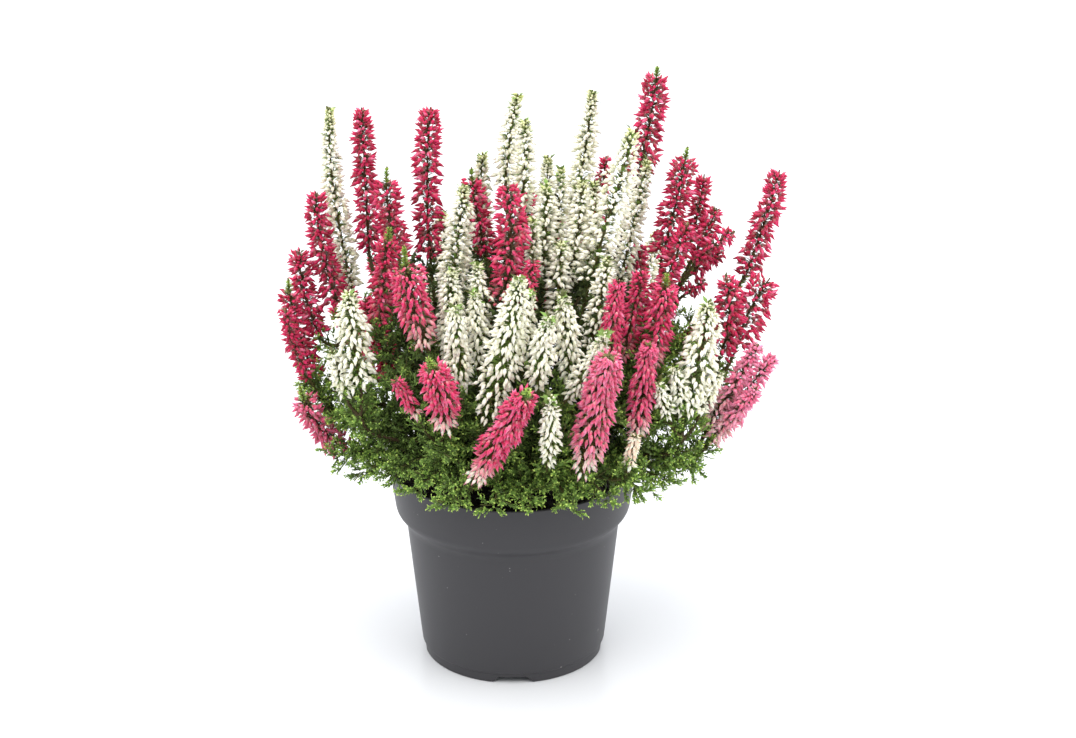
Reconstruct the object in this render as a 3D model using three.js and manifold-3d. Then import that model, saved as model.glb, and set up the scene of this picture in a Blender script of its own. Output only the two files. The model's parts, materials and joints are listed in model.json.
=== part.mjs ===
// A potted heather: a round plastic pot filled with soil, six leafy stems that fan out of it, and the
// pink, pale and white racemes that they carry. Millimetres, +Z up, front towards -Y.
// The origin is the middle of the pot's base, on the surface that it stands on.
import * as THREE from "three";
import { mergeVertices } from "three/addons/utils/BufferGeometryUtils.js";
import Module from "manifold-3d";

const wasm = await Module();
wasm.setup();

// ---------- driving dimensions ----------

const GAP = 0.3; // left between two solids that touch on the real plant

// Pot: a 12 cm nursery container.
const RIM_RADIUS = 60;
const POT_HEIGHT = 98.6;
const WALL = 1.3;
const LIP = 0.5; // rounding of the rim's top edge
const COLLAR_FOOT_Z = 76.4; // the collar's lower edge
const COLLAR_FOOT_RADIUS = 57.3;
const BODY_TOP_Z = 71; // where the step under the collar meets the body
const BODY_TOP_RADIUS = 52.3;
const SKIRT_Z = 5; // low step above the foot
const SKIRT_STEP = 0.6;
const BODY_FOOT_RADIUS = 44.7;
const BASE_RADIUS = 44.1;
const FLOOR = 4;
const POT_SIDES = 30;

// Drain channels under the floor, one to the front, back, left and right.
const CHANNELS = 4;
const CHANNEL_FOOT_WIDTH = 14;
const CHANNEL_TOP_WIDTH = 11;
const CHANNEL_HEIGHT = 2.4;
const CHANNEL_START = 18;
const DRAIN_RADIUS = 3.5;
const DRAIN_PLACE = 28;
const DRAIN_SIDES = 10;

// Soil.
const SOIL_TOP = 89.5;
const SOIL_RELIEF = 0.9;
const SOIL_RINGS = 3;
const SOIL_SIDES = 18;

// Stems.
const SECTORS = 6; // one stem for each sixth of the plant
const SECTOR_TURN = 12; // degrees from +X to the first stem
const TRUNK_PLACE = 13; // from the pot's axis
const TRUNK_RADIUS = 2.6;
const TRUNK_TAPER = 0.6; // share of the radius that is left at the top
const TRUNK_HOLE = 3.4; // radius of its hole in the soil
const TRUNK_SIDES = 6;
const TRUNK_FOOT = 74;
const TRUNK_TOP = 120;
const LOWEST_TWIG = 98; // where the lowest twig leaves its trunk
const HIGHEST_END = 235; // height of the end of the twig that leaves at the trunk's top
const TWIG_ROOT = 1.3; // radius of a twig where it leaves its trunk
const TWIG_TIP = 0.8;
const TWIG_START = 45; // degrees above level at which a twig leaves
const TWIG_BOW = 0.35; // share of its length over which it keeps that slope
const TWIG_END = 22; // how early it takes the direction of what it carries
const TWIG_STEP = 50; // length of one straight piece of a twig
const FORK_RADIUS = 1.2;
const FORK_DROP = 13; // from the racemes' feet down to their fork

// Racemes: rings of three, with a bud raised over every second face between them.
const BUD_PITCH = 7;
const BUD_CORE = 0.42; // radius of the core as a share of the raceme's reach
const BUD_CORE_TAPER = 0.4; // share of the core that is left at the tip
const RACEME_TAPER = 0.5; // share of the reach that is left at the tip
const BUD_ROOM = 0.7; // of the reach: the points of neighbours may stand between each other
const BUD_NOD = 1.6; // how far the lower buds nod
const BUD_CLIMB = 3.2; // how far the top buds point up
const BUD_VARIATION = 0.12; // of the reach, from bud to bud

// Leafy sprays: the same rule with needles.
const NEEDLE_PITCH = 6;
const NEEDLE_CORE = 0.6; // radius of a side shoot
const SPRAY_CORE = [1.3, 0.6]; // radius of a spray, foot and tip, as a multiple of that
const SHOOT_CORE_TIP = 0.6; // radius of a side shoot's tip, likewise
const NEEDLE_REACH = 2.5;
const NEEDLE_LEAN = 1.7;
const NEEDLE_SHORTENING = 0.35; // towards a side shoot's tip
const LEAFY_LENGTH = 36; // of a spray, at most
const LEAFY_SHARE = 0.6;
const SHOOT_LENGTH = 11;
const SHOOT_SHORTENING = 0.45; // towards a spray's tip
const SHOOT_TURN = 1.5;
const SHOOT_ANGLE = 52; // degrees between a side shoot and its stem
const SHOOT_POINTS = 5; // along a side shoot, to tell whether it stays clear

// Rings and raised faces of a rod.
const FRAME_STEPS = 60; // along a curve, for the direction of its rings
const SPIKE_PLACE = 0.4; // of a spike's root between its two rings

// Keeping the lines of growth apart.
const LINE_STEP = 4;
const AXIS_STEP = 5; // of a raceme's axis
const TWIG_ROOM = 2.3;
const SPRAY_ROOM = 3.4;
const ROOT_POINTS = 4; // lines of one stem may touch this near their roots
const BEND_ROUNDS = 160;
const BEND_SHARE = 0.5;
const BEND_EASE = 0.985; // share of a bend that is kept from round to round, up to the settling
const SETTLING = 0.6; // share of the rounds after which bends stay
const SOFT_EVENING = 0.85; // share of the rounds after which bends are evened out less
const EVENING = [0.5, 0.15]; // how much each round evens out a bend, before and after that
const RIM_BORDER = 8; // inside the rim, over which growth is already lifted
const BEND_WAY = new THREE.Vector3(0.6, 1, 0.6); // growth parts most to the front and back

// ---------- colours ----------

const COLOURS = {
  pot: [0x545356, 0.55],
  soil: [0x2a2019, 1],
  leaf: [0x5f7f2e, 0.8],
  pink: [0xd23a63, 0.75],
  pale: [0xee8fae, 0.75],
  white: [0xf2f1df, 0.75],
};

// ---------- what grows where ----------

// Each raceme: tip, middle and foot of its axis, then the reach of its buds from the axis.
// Racemes of one entry stand on one fork.
const RACEMES = [
  // front row
  ["pink_raceme_01", [[[8, -88, 172], [-1, -75, 151], [-19, -62, 116], 9.5]]],
  ["white_raceme_01", [[[18, -85, 167], [18, -76, 148], [17, -66, 125], 7]]],
  ["pink_raceme_02", [[[44, -80, 185], [39, -70, 157], [33, -60, 120], 11]]],
  ["pink_racemes_03", [
    [[-37, -78, 183], [-31, -69, 161], [-30, -60, 140], 10],
    [[-52, -66, 167], [-48, -62, 158], [-42, -58, 144], 5.5],
  ]],
  ["white_raceme_02", [[[4, -75, 219], [-2, -68, 183], [-13, -62, 143], 11.5]]],
  ["white_raceme_03", [[[17, -78, 202], [14, -70, 182], [12, -62, 162], 8]]],
  ["white_raceme_04", [[[42, -72, 192], [37, -65, 175], [25, -58, 154], 7.5]]],
  ["white_racemes_05", [
    [[-74, -45, 202], [-73, -42, 180], [-70, -40, 152], 10],
    [[-82, -40, 171], [-81, -39, 162], [-77, -38, 148], 6.5],
  ]],
  ["pink_raceme_04", [[[-98, -30, 149], [-93, -25, 131], [-80, -20, 113], 7.5]]],
  ["white_racemes_06", [
    [[90, -45, 197], [88, -45, 176], [81, -45, 141], 11],
    [[74, -52, 168], [77, -50, 158], [79, -47, 144], 6.5],
    [[96, -40, 162], [92, -42, 154], [87, -44, 141], 6.5],
    [[67, -58, 163], [69, -54, 154], [73, -50, 141], 5.5],
  ]],
  ["pale_racemes_01", [
    [[124, -22, 162], [112, -25, 148], [95, -28, 124], 7],
    [[115, -34, 172], [107, -32, 156], [92, -30, 127], 6.5],
    [[114, -40, 153], [106, -36, 140], [93, -32, 121], 6.5],
  ]],
  ["pale_raceme_02", [[[57, -68, 140], [55, -65, 132], [54, -62, 121], 5]]],
  // second row
  ["pink_raceme_05", [[[-48, -45, 224], [-45, -45, 199], [-38, -45, 175], 10]]],
  ["pink_raceme_06", [[[-56, -25, 226], [-59, -25, 202], [-62, -25, 179], 7]]],
  ["pink_raceme_07", [[[-68, -18, 189], [-62, -19, 171], [-56, -21, 151], 7]]],
  ["white_racemes_07", [
    [[-27, -40, 211], [-28, -40, 189], [-28, -40, 166], 8],
    [[-25, -60, 200], [-24, -56, 177], [-21, -52, 153], 8.5],
  ]],
  ["white_racemes_08", [
    [[-13, -35, 213], [-12, -36, 195], [-11, -36, 178], 6.5],
    [[-17, -50, 203], [-16, -48, 184], [-16, -47, 165], 7],
  ]],
  ["pink_racemes_08", [
    [[-3, -25, 247], [-1, -30, 222], [-7, -35, 192], 9],
    [[10, -38, 215], [7, -38, 198], [3, -38, 178], 6],
  ]],
  ["white_raceme_09", [[[9, -50, 203], [7, -47, 186], [6, -44, 168], 6.5]]],
  ["white_raceme_10", [[[23, -55, 203], [26, -51, 180], [26, -48, 156], 8.5]]],
  ["white_raceme_11", [[[44, -30, 213], [41, -31, 192], [36, -33, 169], 7]]],
  ["pink_racemes_09", [
    [[49, -50, 209], [46, -49, 187], [46, -47, 161], 7],
    [[60, -34, 209], [56, -35, 187], [51, -37, 165], 6.5],
  ]],
  ["pink_raceme_10", [[[71, -40, 209], [68, -41, 187], [63, -43, 162], 8.5]]],
  ["pink_raceme_11", [[[63, -56, 180], [60, -53, 156], [58, -51, 130], 8]]],
  // middle
  ["pink_racemes_12", [
    [[-106, 0, 193], [-103, 0, 169], [-94, 0, 143], 7],
    [[-105, -22, 186], [-103, -19, 169], [-96, -16, 149], 5.5],
  ]],
  ["pink_racemes_13", [
    [[-93, 15, 231], [-91, 15, 204], [-84, 15, 174], 7.5],
    [[-101, 10, 204], [-100, 10, 184], [-93, 10, 160], 7],
  ]],
  ["pink_raceme_14", [[[-58, 5, 245], [-58, 2, 227], [-54, 0, 205], 8]]],
  ["pink_raceme_15", [[[-38, 15, 272], [-40, 12, 237], [-39, 10, 199], 8]]],
  ["white_raceme_12", [[[-22, -10, 241], [-25, -11, 216], [-29, -13, 190], 7.5]]],
  ["pink_raceme_16", [[[-19, 15, 242], [-17, 13, 223], [-12, 10, 200], 7]]],
  ["white_racemes_13", [
    [[16, -5, 241], [16, -7, 219], [14, -10, 196], 7],
    [[10, -16, 228], [10, -18, 213], [10, -19, 196], 5],
    [[23, -22, 219], [22, -23, 202], [20, -25, 181], 6],
  ]],
  ["white_racemes_14", [
    [[33, -8, 244], [31, -11, 220], [27, -14, 195], 6],
    [[39, 15, 237], [38, 13, 215], [36, 10, 193], 5.5],
  ]],
  ["white_raceme_15", [[[56, -5, 267], [48, -14, 238], [36, -22, 197], 9]]],
  ["white_raceme_16", [[[64, 15, 247], [58, 11, 218], [51, 6, 187], 6]]],
  ["pink_raceme_17", [[[82, -15, 224], [74, -17, 203], [65, -20, 179], 7]]],
  ["pink_racemes_18", [
    [[82, 5, 256], [78, 4, 233], [71, 2, 202], 8],
    [[91, 20, 238], [89, 18, 223], [85, 16, 206], 6],
  ]],
  ["pink_racemes_19", [
    [[96, 2, 227], [92, 1, 216], [86, 0, 204], 6],
    [[104, -8, 218], [96, -7, 213], [86, -6, 202], 6],
    [[101, 12, 202], [92, 10, 198], [84, 8, 191], 6],
    [[91, -6, 194], [88, -5, 191], [82, -4, 186], 5],
  ]],
  ["pink_racemes_20", [
    [[99, -20, 200], [102, -20, 182], [98, -20, 161], 8],
    [[122, -5, 194], [113, -8, 181], [106, -12, 162], 9.5],
  ]],
  ["pink_raceme_21", [[[126, 15, 241], [120, 12, 217], [111, 10, 189], 7.5]]],
  ["pink_raceme_22", [[[91, 10, 168], [83, 7, 162], [75, 4, 156], 7.5]]],
  // behind the middle
  ["white_raceme_17", [[[-86, 30, 268], [-86, 28, 233], [-78, 25, 178], 6.5]]],
  ["pink_raceme_23", [[[-71, 25, 269], [-70, 24, 234], [-69, 22, 198], 7]]],
  ["white_raceme_18", [[[-14, 30, 245], [-15, 29, 221], [-13, 27, 194], 6]]],
  ["white_racemes_19", [
    [[3, 25, 276], [-1, 25, 254], [-3, 25, 230], 6.5],
    [[6, 10, 268], [6, 9, 248], [4, 8, 223], 6],
  ]],
  ["white_racemes_20", [
    [[17, 25, 246], [16, 23, 226], [13, 20, 203], 5.5],
    [[23, 15, 243], [22, 13, 221], [19, 10, 196], 5.5],
  ]],
  ["white_raceme_21", [[[38, 30, 276], [35, 28, 249], [30, 26, 220], 6.5]]],
  ["pink_racemes_24", [
    [[45, 40, 241], [42, 37, 217], [36, 35, 191], 5.5],
    [[62, 30, 200], [59, 27, 185], [54, 24, 168], 6.5],
  ]],
  ["pink_raceme_25", [[[68, 20, 290], [65, 21, 264], [60, 22, 237], 8]]],
  // back
  ["pink_racemes_26", [
    [[-92, 56, 190], [-84, 50, 172], [-72, 44, 150], 7],
    [[-70, 74, 180], [-62, 64, 160], [-54, 54, 140], 8],
    [[-62, 52, 212], [-58, 47, 194], [-52, 42, 172], 7],
    [[-90, 66, 156], [-79, 57, 141], [-64, 48, 128], 7],
  ]],
  ["white_racemes_22", [
    [[-36, 70, 204], [-33, 61, 184], [-28, 52, 162], 8],
    [[-44, 86, 166], [-39, 75, 150], [-32, 62, 135], 7],
    [[-20, 54, 218], [-19, 49, 200], [-18, 44, 180], 7],
    [[-24, 80, 182], [-24, 70, 165], [-24, 59, 148], 7],
  ]],
  ["pink_racemes_27", [
    [[-4, 78, 190], [-4, 70, 170], [-4, 60, 148], 8],
    [[8, 60, 218], [7, 54, 200], [6, 48, 180], 7],
    [[16, 90, 158], [14, 78, 143], [10, 64, 128], 7],
    [[21, 75, 200], [18, 66, 182], [12, 56, 160], 7],
  ]],
  ["white_racemes_23", [
    [[38, 76, 200], [34, 67, 180], [28, 56, 156], 8],
    [[32, 56, 222], [30, 50, 204], [26, 44, 184], 7],
    [[72, 62, 196], [66, 55, 178], [56, 48, 158], 8],
    [[60, 80, 168], [53, 69, 152], [44, 58, 138], 7],
  ]],
];

// Leafy sprays without flowers: tip, then the slope at the tip in degrees above level.
const SPRAYS = [
  // over the rim at the front
  [[-27, -68, 106], -30],
  [[-8, -70, 104], -35],
  [[10, -72, 101], -40],
  [[27, -70, 106], -30],
  [[44, -66, 107], -25],
  [[-43, -58, 110], -20],
  // left lobe
  [[-57, -46, 111], -20],
  [[-71, -36, 109], -15],
  [[-83, -24, 114], -5],
  [[-90, -6, 124], 5],
  [[-97, -10, 140], 25],
  [[-80, -26, 132], 20],
  // right lobe
  [[60, -58, 109], -25],
  [[73, -46, 108], -20],
  [[86, -33, 113], -10],
  [[98, -14, 133], 10],
  [[106, -10, 156], 30],
  [[84, -30, 136], 20],
  // inner sprays between the racemes
  [[-32, -60, 130], 10],
  [[-4, -64, 130], 10],
  [[22, -62, 136], 15],
  [[44, -56, 146], 30],
  [[-24, -54, 152], 35],
  [[-52, -38, 158], 40],
  [[66, -34, 156], 35],
  [[-66, 6, 168], 50],
  [[-8, -26, 176], 65],
  [[38, -10, 172], 60],
  [[-40, -20, 178], 60],
  [[80, -18, 166], 45],
  // back
  [[84, 34, 128], 5],
  [[62, 66, 120], -5],
  [[-14, 74, 112], -20],
  [[-62, 60, 118], -10],
];

// ---------- solids ----------

// One closed solid of a geometry whose faces meet edge to edge.
function solidOf(geometry) {
  const bare = geometry.clone();
  bare.deleteAttribute("normal");
  bare.deleteAttribute("uv");
  const merged = mergeVertices(bare, 1e-4);
  return new wasm.Manifold(
    new wasm.Mesh({
      numProp: 3,
      vertProperties: merged.attributes.position.array,
      triVerts: new Uint32Array(merged.index.array),
    }),
  );
}

function geometryOf(solid) {
  const mesh = solid.getMesh();
  const geometry = new THREE.BufferGeometry();
  geometry.setAttribute("position", new THREE.BufferAttribute(mesh.vertProperties, 3));
  geometry.setIndex(new THREE.BufferAttribute(mesh.triVerts, 1));
  return geometry;
}

function fuse(geometries) {
  return geometries.map(solidOf).reduce((whole, piece) => whole.add(piece));
}

// A lathed body on +Z from a profile of [radius, height] pairs, listed upwards on the outside.
function lathed(profile, sides) {
  const points = profile.map(([radius, height]) => new THREE.Vector2(radius, height));
  return new THREE.LatheGeometry(points, sides).rotateX(Math.PI / 2);
}

// Grows a rod along a curve from rings of three corners, each ring turned half a step from the one
// before, so that every second face between two rings can be raised.
// rule.shares: where the rings stand along the curve, from 0 to 1.
// rule.coreAt(share): the rod's radius.
// rule.raise(band, i, share, outwards, along): what grows on a face: a spike as { reach, lean },
// a side rod as { curve, rule }, or nothing.
// base: the three corners of a face that the rod grows out of, or nothing for a free rod.
function grow(growth, curve, rule, base) {
  const frames = curve.computeFrenetFrames(FRAME_STEPS);
  const turn = (2 * Math.PI) / 3;
  const add = (point) => growth.positions.push(point.x, point.y, point.z) / 3 - 1;
  const frameAt = (share) => {
    const at = Math.round(share * FRAME_STEPS);
    return { side: frames.normals[at], front: frames.binormals[at], along: frames.tangents[at] };
  };
  const away = ({ side, front }, angle) =>
    side.clone().multiplyScalar(Math.cos(angle)).addScaledVector(front, Math.sin(angle));

  const start = base ? angleOfCorner(growth, base[2], curve, frameAt(0)) - 2 * turn : 0;
  const rings = rule.shares.map((share, ring) => {
    if (base && ring === 0) return base;
    return [0, 1, 2].map((i) => {
      const way = away(frameAt(share), start + turn * (i + (ring % 2) / 2));
      return add(curve.getPointAt(share).addScaledVector(way, rule.coreAt(share)));
    });
  });
  for (let band = 0; band < rings.length - 1; band++) {
    const odd = band % 2;
    const share = THREE.MathUtils.lerp(rule.shares[band], rule.shares[band + 1], SPIKE_PLACE);
    for (let i = 0; i < 3; i++) {
      const a = rings[band][i];
      const b = rings[band][(i + 1) % 3];
      const c = rings[band + 1][(i + odd) % 3];
      growth.faces.push(b, rings[band + 1][(i + odd + 1) % 3], c);
      const frame = frameAt(share);
      const outwards = away(frame, start + turn * (i + (1 + odd) / 2));
      const raised = rule.raise?.(band, i, share, outwards, frame.along);
      if (raised?.curve) {
        grow(growth, raised.curve, raised.rule, [a, b, c]);
      } else if (raised) {
        const tip = curve.getPointAt(share).addScaledVector(outwards, raised.reach);
        const d = add(tip.addScaledVector(frame.along, raised.lean));
        growth.faces.push(a, b, d, b, c, d, c, a, d);
      } else {
        growth.faces.push(a, b, c);
      }
    }
  }
  if (!base) growth.faces.push(rings[0][2], rings[0][1], rings[0][0]);
  const [a, b, c] = rings.at(-1);
  if (rule.point) {
    const last = rule.shares.at(-1);
    const end = add(curve.getPointAt(last).addScaledVector(frameAt(last).along, rule.point));
    growth.faces.push(a, b, end, b, c, end, c, a, end);
  } else {
    growth.faces.push(a, b, c);
  }
}

// Angle of one corner of a base face round the start of the curve that leaves it.
function angleOfCorner(growth, corner, curve, { side, front }) {
  const place = new THREE.Vector3().fromArray(growth.positions, 3 * corner).sub(curve.getPointAt(0));
  return Math.atan2(place.dot(front), place.dot(side));
}

function rod(curve, rule) {
  const growth = { positions: [], faces: [] };
  grow(growth, curve, rule);
  const geometry = new THREE.BufferGeometry();
  geometry.setAttribute("position", new THREE.Float32BufferAttribute(growth.positions, 3));
  geometry.setIndex(growth.faces);
  return geometry;
}

// Shares of a curve from one share to another, about one step apart.
function steps(from, to, length, step) {
  const count = Math.max(1, Math.round(((to - from) * length) / step));
  return Array.from({ length: count }, (_, i) => Math.min(to, from + ((to - from) * (i + 1)) / count));
}

function part(name, geometry, [colour, roughness]) {
  const material = new THREE.MeshStandardMaterial({ color: colour, roughness, metalness: 0 });
  const mesh = new THREE.Mesh(geometry, material);
  mesh.name = name;
  return mesh;
}

// Repeatable random numbers from 0 to 1.
function seededRandom(seed) {
  let state = seed;
  return () => {
    state = (state * 1664525 + 1013904223) % 4294967296;
    return state / 4294967296;
  };
}

// ---------- pot and soil ----------

// The pot's inner wall as [radius, height] pairs, moved inwards by a clearance.
function innerWall(clearance) {
  return [
    [BODY_FOOT_RADIUS - WALL - clearance, FLOOR + clearance],
    [BODY_TOP_RADIUS - WALL - clearance, BODY_TOP_Z],
    [COLLAR_FOOT_RADIUS - WALL - clearance, COLLAR_FOOT_Z + clearance],
    [RIM_RADIUS - WALL - clearance, POT_HEIGHT - LIP],
  ];
}

function makePot() {
  const wall = innerWall(0);
  const body = lathed(
    [
      [0, 0],
      [BASE_RADIUS, 0],
      [BASE_RADIUS + SKIRT_STEP / 2, SKIRT_Z],
      [BODY_FOOT_RADIUS + SKIRT_STEP, SKIRT_Z + SKIRT_STEP],
      [BODY_TOP_RADIUS, BODY_TOP_Z],
      [COLLAR_FOOT_RADIUS - SKIRT_STEP, COLLAR_FOOT_Z - SKIRT_STEP],
      [COLLAR_FOOT_RADIUS, COLLAR_FOOT_Z + SKIRT_STEP],
      [RIM_RADIUS, POT_HEIGHT - LIP],
      [RIM_RADIUS - LIP, POT_HEIGHT],
      [RIM_RADIUS - WALL + LIP / 2, POT_HEIGHT],
      ...wall.toReversed(),
      [0, FLOOR],
    ],
    POT_SIDES,
  );
  const section = new THREE.Shape([
    new THREE.Vector2(-CHANNEL_FOOT_WIDTH / 2, -1),
    new THREE.Vector2(CHANNEL_FOOT_WIDTH / 2, -1),
    new THREE.Vector2(CHANNEL_FOOT_WIDTH / 2, 0),
    new THREE.Vector2(CHANNEL_TOP_WIDTH / 2, CHANNEL_HEIGHT),
    new THREE.Vector2(-CHANNEL_TOP_WIDTH / 2, CHANNEL_HEIGHT),
    new THREE.Vector2(-CHANNEL_FOOT_WIDTH / 2, 0),
  ]);
  const length = BASE_RADIUS + 2 - CHANNEL_START;
  let pot = solidOf(body);
  for (let i = 0; i < CHANNELS; i++) {
    const turn = (2 * Math.PI * i) / CHANNELS;
    const channel = new THREE.ExtrudeGeometry(section, { depth: length, bevelEnabled: false });
    channel.rotateX(Math.PI / 2);
    channel.translate(0, -CHANNEL_START, 0);
    channel.rotateZ(turn);
    const drain = new THREE.CylinderGeometry(DRAIN_RADIUS, DRAIN_RADIUS, 4 * FLOOR, DRAIN_SIDES);
    drain.rotateX(Math.PI / 2);
    drain.translate(0, -DRAIN_PLACE, 0);
    drain.rotateZ(turn);
    pot = pot.subtract(solidOf(channel)).subtract(solidOf(drain));
  }
  return geometryOf(pot);
}

// Height of the soil's crumbs above its mean level.
function crumbs(x, y) {
  return SOIL_RELIEF * Math.sin(0.55 * x + 0.3 * y) * Math.cos(0.5 * y - 0.2 * x);
}

function makeSoil() {
  const wall = innerWall(GAP);
  const [footRadius] = wall.at(-2);
  const rise = (SOIL_TOP - COLLAR_FOOT_Z) / (POT_HEIGHT - LIP - COLLAR_FOOT_Z);
  const topRadius = footRadius + rise * (wall.at(-1)[0] - footRadius) - GAP;
  const rings = Array.from({ length: SOIL_RINGS + 1 }, (_, i) => [
    topRadius * (1 - i / SOIL_RINGS),
    SOIL_TOP,
  ]);
  const body = lathed([[0, FLOOR + GAP], ...wall.slice(0, -1), ...rings], SOIL_SIDES);
  const places = body.attributes.position;
  for (let i = 0; i < places.count; i++) {
    if (places.getZ(i) < SOIL_TOP - GAP) continue;
    places.setZ(i, SOIL_TOP + crumbs(places.getX(i), places.getY(i)));
  }
  let soil = solidOf(body);
  for (const { x, y } of TRUNKS) {
    const depth = 2 * (SOIL_TOP - TRUNK_FOOT);
    const hole = new THREE.CylinderGeometry(TRUNK_HOLE, TRUNK_HOLE, depth, TRUNK_SIDES);
    hole.rotateX(Math.PI / 2);
    hole.translate(x, y, TRUNK_FOOT - GAP + depth / 2);
    soil = soil.subtract(solidOf(hole));
  }
  return geometryOf(soil);
}

// ---------- lines of growth ----------

const vector = ([x, y, z]) => new THREE.Vector3(x, y, z);

const TRUNKS = Array.from({ length: SECTORS }, (_, i) => {
  const angle = THREE.MathUtils.degToRad(SECTOR_TURN + (360 * (i + 0.5)) / SECTORS);
  return new THREE.Vector3(TRUNK_PLACE * Math.cos(angle), TRUNK_PLACE * Math.sin(angle), TRUNK_TOP);
});

function sectorOf(point) {
  const degrees = THREE.MathUtils.radToDeg(Math.atan2(point.y, point.x)) - SECTOR_TURN;
  return Math.floor(((degrees + 720) % 360) / (360 / SECTORS));
}

const stemName = (sector) => "stem_" + (sector + 1);

// A line of growth: points about one step apart, with the room that each needs round it.
function lineAlong(curve, step, roomAt, owner, kind) {
  const count = Math.max(3, Math.round(curve.getLength() / step));
  const points = curve.getSpacedPoints(count);
  return {
    owner,
    kind,
    points,
    rest: points.map((point) => point.clone()),
    room: points.map((_, i) => roomAt(i / count)),
  };
}

// A twig climbs out of its trunk and arrives at a point in a given direction.
function twigCurve(sector, end, direction) {
  const trunk = TRUNKS[sector];
  const climb = (end.z - LOWEST_TWIG) / (HIGHEST_END - LOWEST_TWIG);
  const root = trunk.clone().setZ(THREE.MathUtils.lerp(LOWEST_TWIG, TRUNK_TOP - 2, climb));
  const start = THREE.MathUtils.degToRad(TWIG_START);
  const leave = new THREE.Vector3(end.x - root.x, end.y - root.y, 0).setLength(Math.cos(start));
  const bow = TWIG_BOW * root.distanceTo(end);
  const rise = root.clone().addScaledVector(leave.setZ(Math.sin(start)), bow);
  const back = Math.min(TWIG_END, bow);
  const arrive = end.clone().addScaledVector(direction, -back);
  return new THREE.CubicBezierCurve3(root, rise, arrive, end);
}

// How far a raceme's buds reach from its axis, from the foot at 0 to the tip at 1.
const budReach = (reach, share) => reach * (1 - (1 - RACEME_TAPER) * share ** 4);

// The lines of one entry: a twig, the racemes' axes, and the arms of their fork if there are several.
function growRacemes([name, spikes]) {
  const axes = spikes.map(([tip, middle, foot, reach]) => {
    const [a, b, c] = [foot, middle, tip].map(vector);
    const control = b.clone().multiplyScalar(2).sub(a.clone().add(c).multiplyScalar(0.5));
    const curve = new THREE.QuadraticBezierCurve3(a, control, c);
    return lineAlong(curve, AXIS_STEP, (share) => BUD_ROOM * budReach(reach, share), name, "raceme");
  });
  const feet = axes.map((axis) => axis.points[0]);
  const leans = axes.map((axis) => axis.points[1].clone().sub(axis.points[0]).normalize());
  const middle = feet.reduce((sum, foot) => sum.add(foot), new THREE.Vector3());
  middle.divideScalar(feet.length);
  const lean = leans.reduce((sum, way) => sum.add(way), new THREE.Vector3()).normalize();
  const sector = sectorOf(middle);
  const fork = middle.clone();
  let arms = [];
  if (spikes.length > 1) {
    const lowest = Math.min(...feet.map((foot) => foot.z));
    fork.addScaledVector(lean, -FORK_DROP);
    fork.z = Math.min(fork.z, lowest - FORK_DROP / 2);
    arms = feet.map((foot, i) => {
      const bend = foot.clone().addScaledVector(leans[i], -0.5 * fork.distanceTo(foot));
      const curve = new THREE.QuadraticBezierCurve3(fork.clone(), bend, foot.clone());
      return lineAlong(curve, LINE_STEP, () => TWIG_ROOM, name, "arm");
    });
  }
  const twigLine = twigCurve(sector, fork, lean);
  const twig = lineAlong(twigLine, LINE_STEP, () => TWIG_ROOM, stemName(sector), "twig");
  return { name, sector, spikes, axes, arms, twig, lines: [twig, ...arms, ...axes] };
}

function growSpray([tip, slope]) {
  const end = vector(tip);
  const angle = THREE.MathUtils.degToRad(slope);
  const direction = new THREE.Vector3(end.x, end.y, 0).setLength(Math.cos(angle));
  direction.setZ(Math.sin(angle));
  const sector = sectorOf(end);
  const curve = twigCurve(sector, end, direction);
  return { sector, line: lineAlong(curve, LINE_STEP, () => SPRAY_ROOM, stemName(sector), "spray") };
}

// ---------- bending clear ----------

// Pushes apart the points of neighbouring lines, evens out each line's bend and keeps the lines
// over the rim, round by round.
function bendClear(lines, ties) {
  const dots = lines.flatMap((line) =>
    line.points.map((point, i) => ({ point, room: line.room[i], line, nearRoot: i < ROOT_POINTS })),
  );
  const apart = (a, b) => {
    if (a.line === b.line) return false;
    if (a.line.owner !== b.line.owner) return true;
    return !a.nearRoot && !b.nearRoot && a.line.kind !== "arm" && b.line.kind !== "arm";
  };
  const offset = new THREE.Vector3();
  for (let round = 0; round < BEND_ROUNDS; round++) {
    dots.forEach((a, i) => {
      for (let j = i + 1; j < dots.length; j++) {
        const b = dots[j];
        const least = a.room + b.room;
        if (Math.abs(a.point.x - b.point.x) > least) continue;
        if (Math.abs(a.point.y - b.point.y) > least) continue;
        offset.subVectors(b.point, a.point);
        const distance = offset.length();
        if (distance >= least || !apart(a, b)) continue;
        offset.multiplyScalar((BEND_SHARE * (least - distance)) / Math.max(distance, 0.1));
        offset.multiply(BEND_WAY);
        b.point.add(offset);
        a.point.sub(offset);
      }
    });
    for (const dot of dots) liftOverRim(dot);
    for (const line of lines) evenBend(line, round);
    for (const [a, b] of ties) {
      a.lerp(b, 0.5);
      b.copy(a);
    }
  }
}

function liftOverRim({ point, room }) {
  const radius = Math.hypot(point.x, point.y);
  const least = POT_HEIGHT + room;
  const over = radius > RIM_RADIUS - RIM_BORDER && radius < RIM_RADIUS + room;
  if (over && point.z < least) point.z += 0.5 * (least - point.z);
}

function evenBend({ kind, points, rest }, round) {
  const shifts = points.map((point, i) => point.clone().sub(rest[i]));
  const settling = round > SETTLING * BEND_ROUNDS;
  const evening = EVENING[round > SOFT_EVENING * BEND_ROUNDS ? 1 : 0];
  const rooted = kind === "twig" || kind === "spray";
  points.forEach((point, i) => {
    const before = shifts[Math.max(i - 1, 0)];
    const after = shifts[Math.min(i + 1, points.length - 1)];
    const mean = before.clone().add(after).multiplyScalar(0.5);
    const shift = shifts[i].clone().lerp(mean, evening);
    if (!settling) shift.multiplyScalar(BEND_EASE);
    if (rooted && i === 0) shift.set(0, 0, 0);
    point.copy(rest[i]).add(shift);
  });
}

// ---------- racemes ----------

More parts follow.
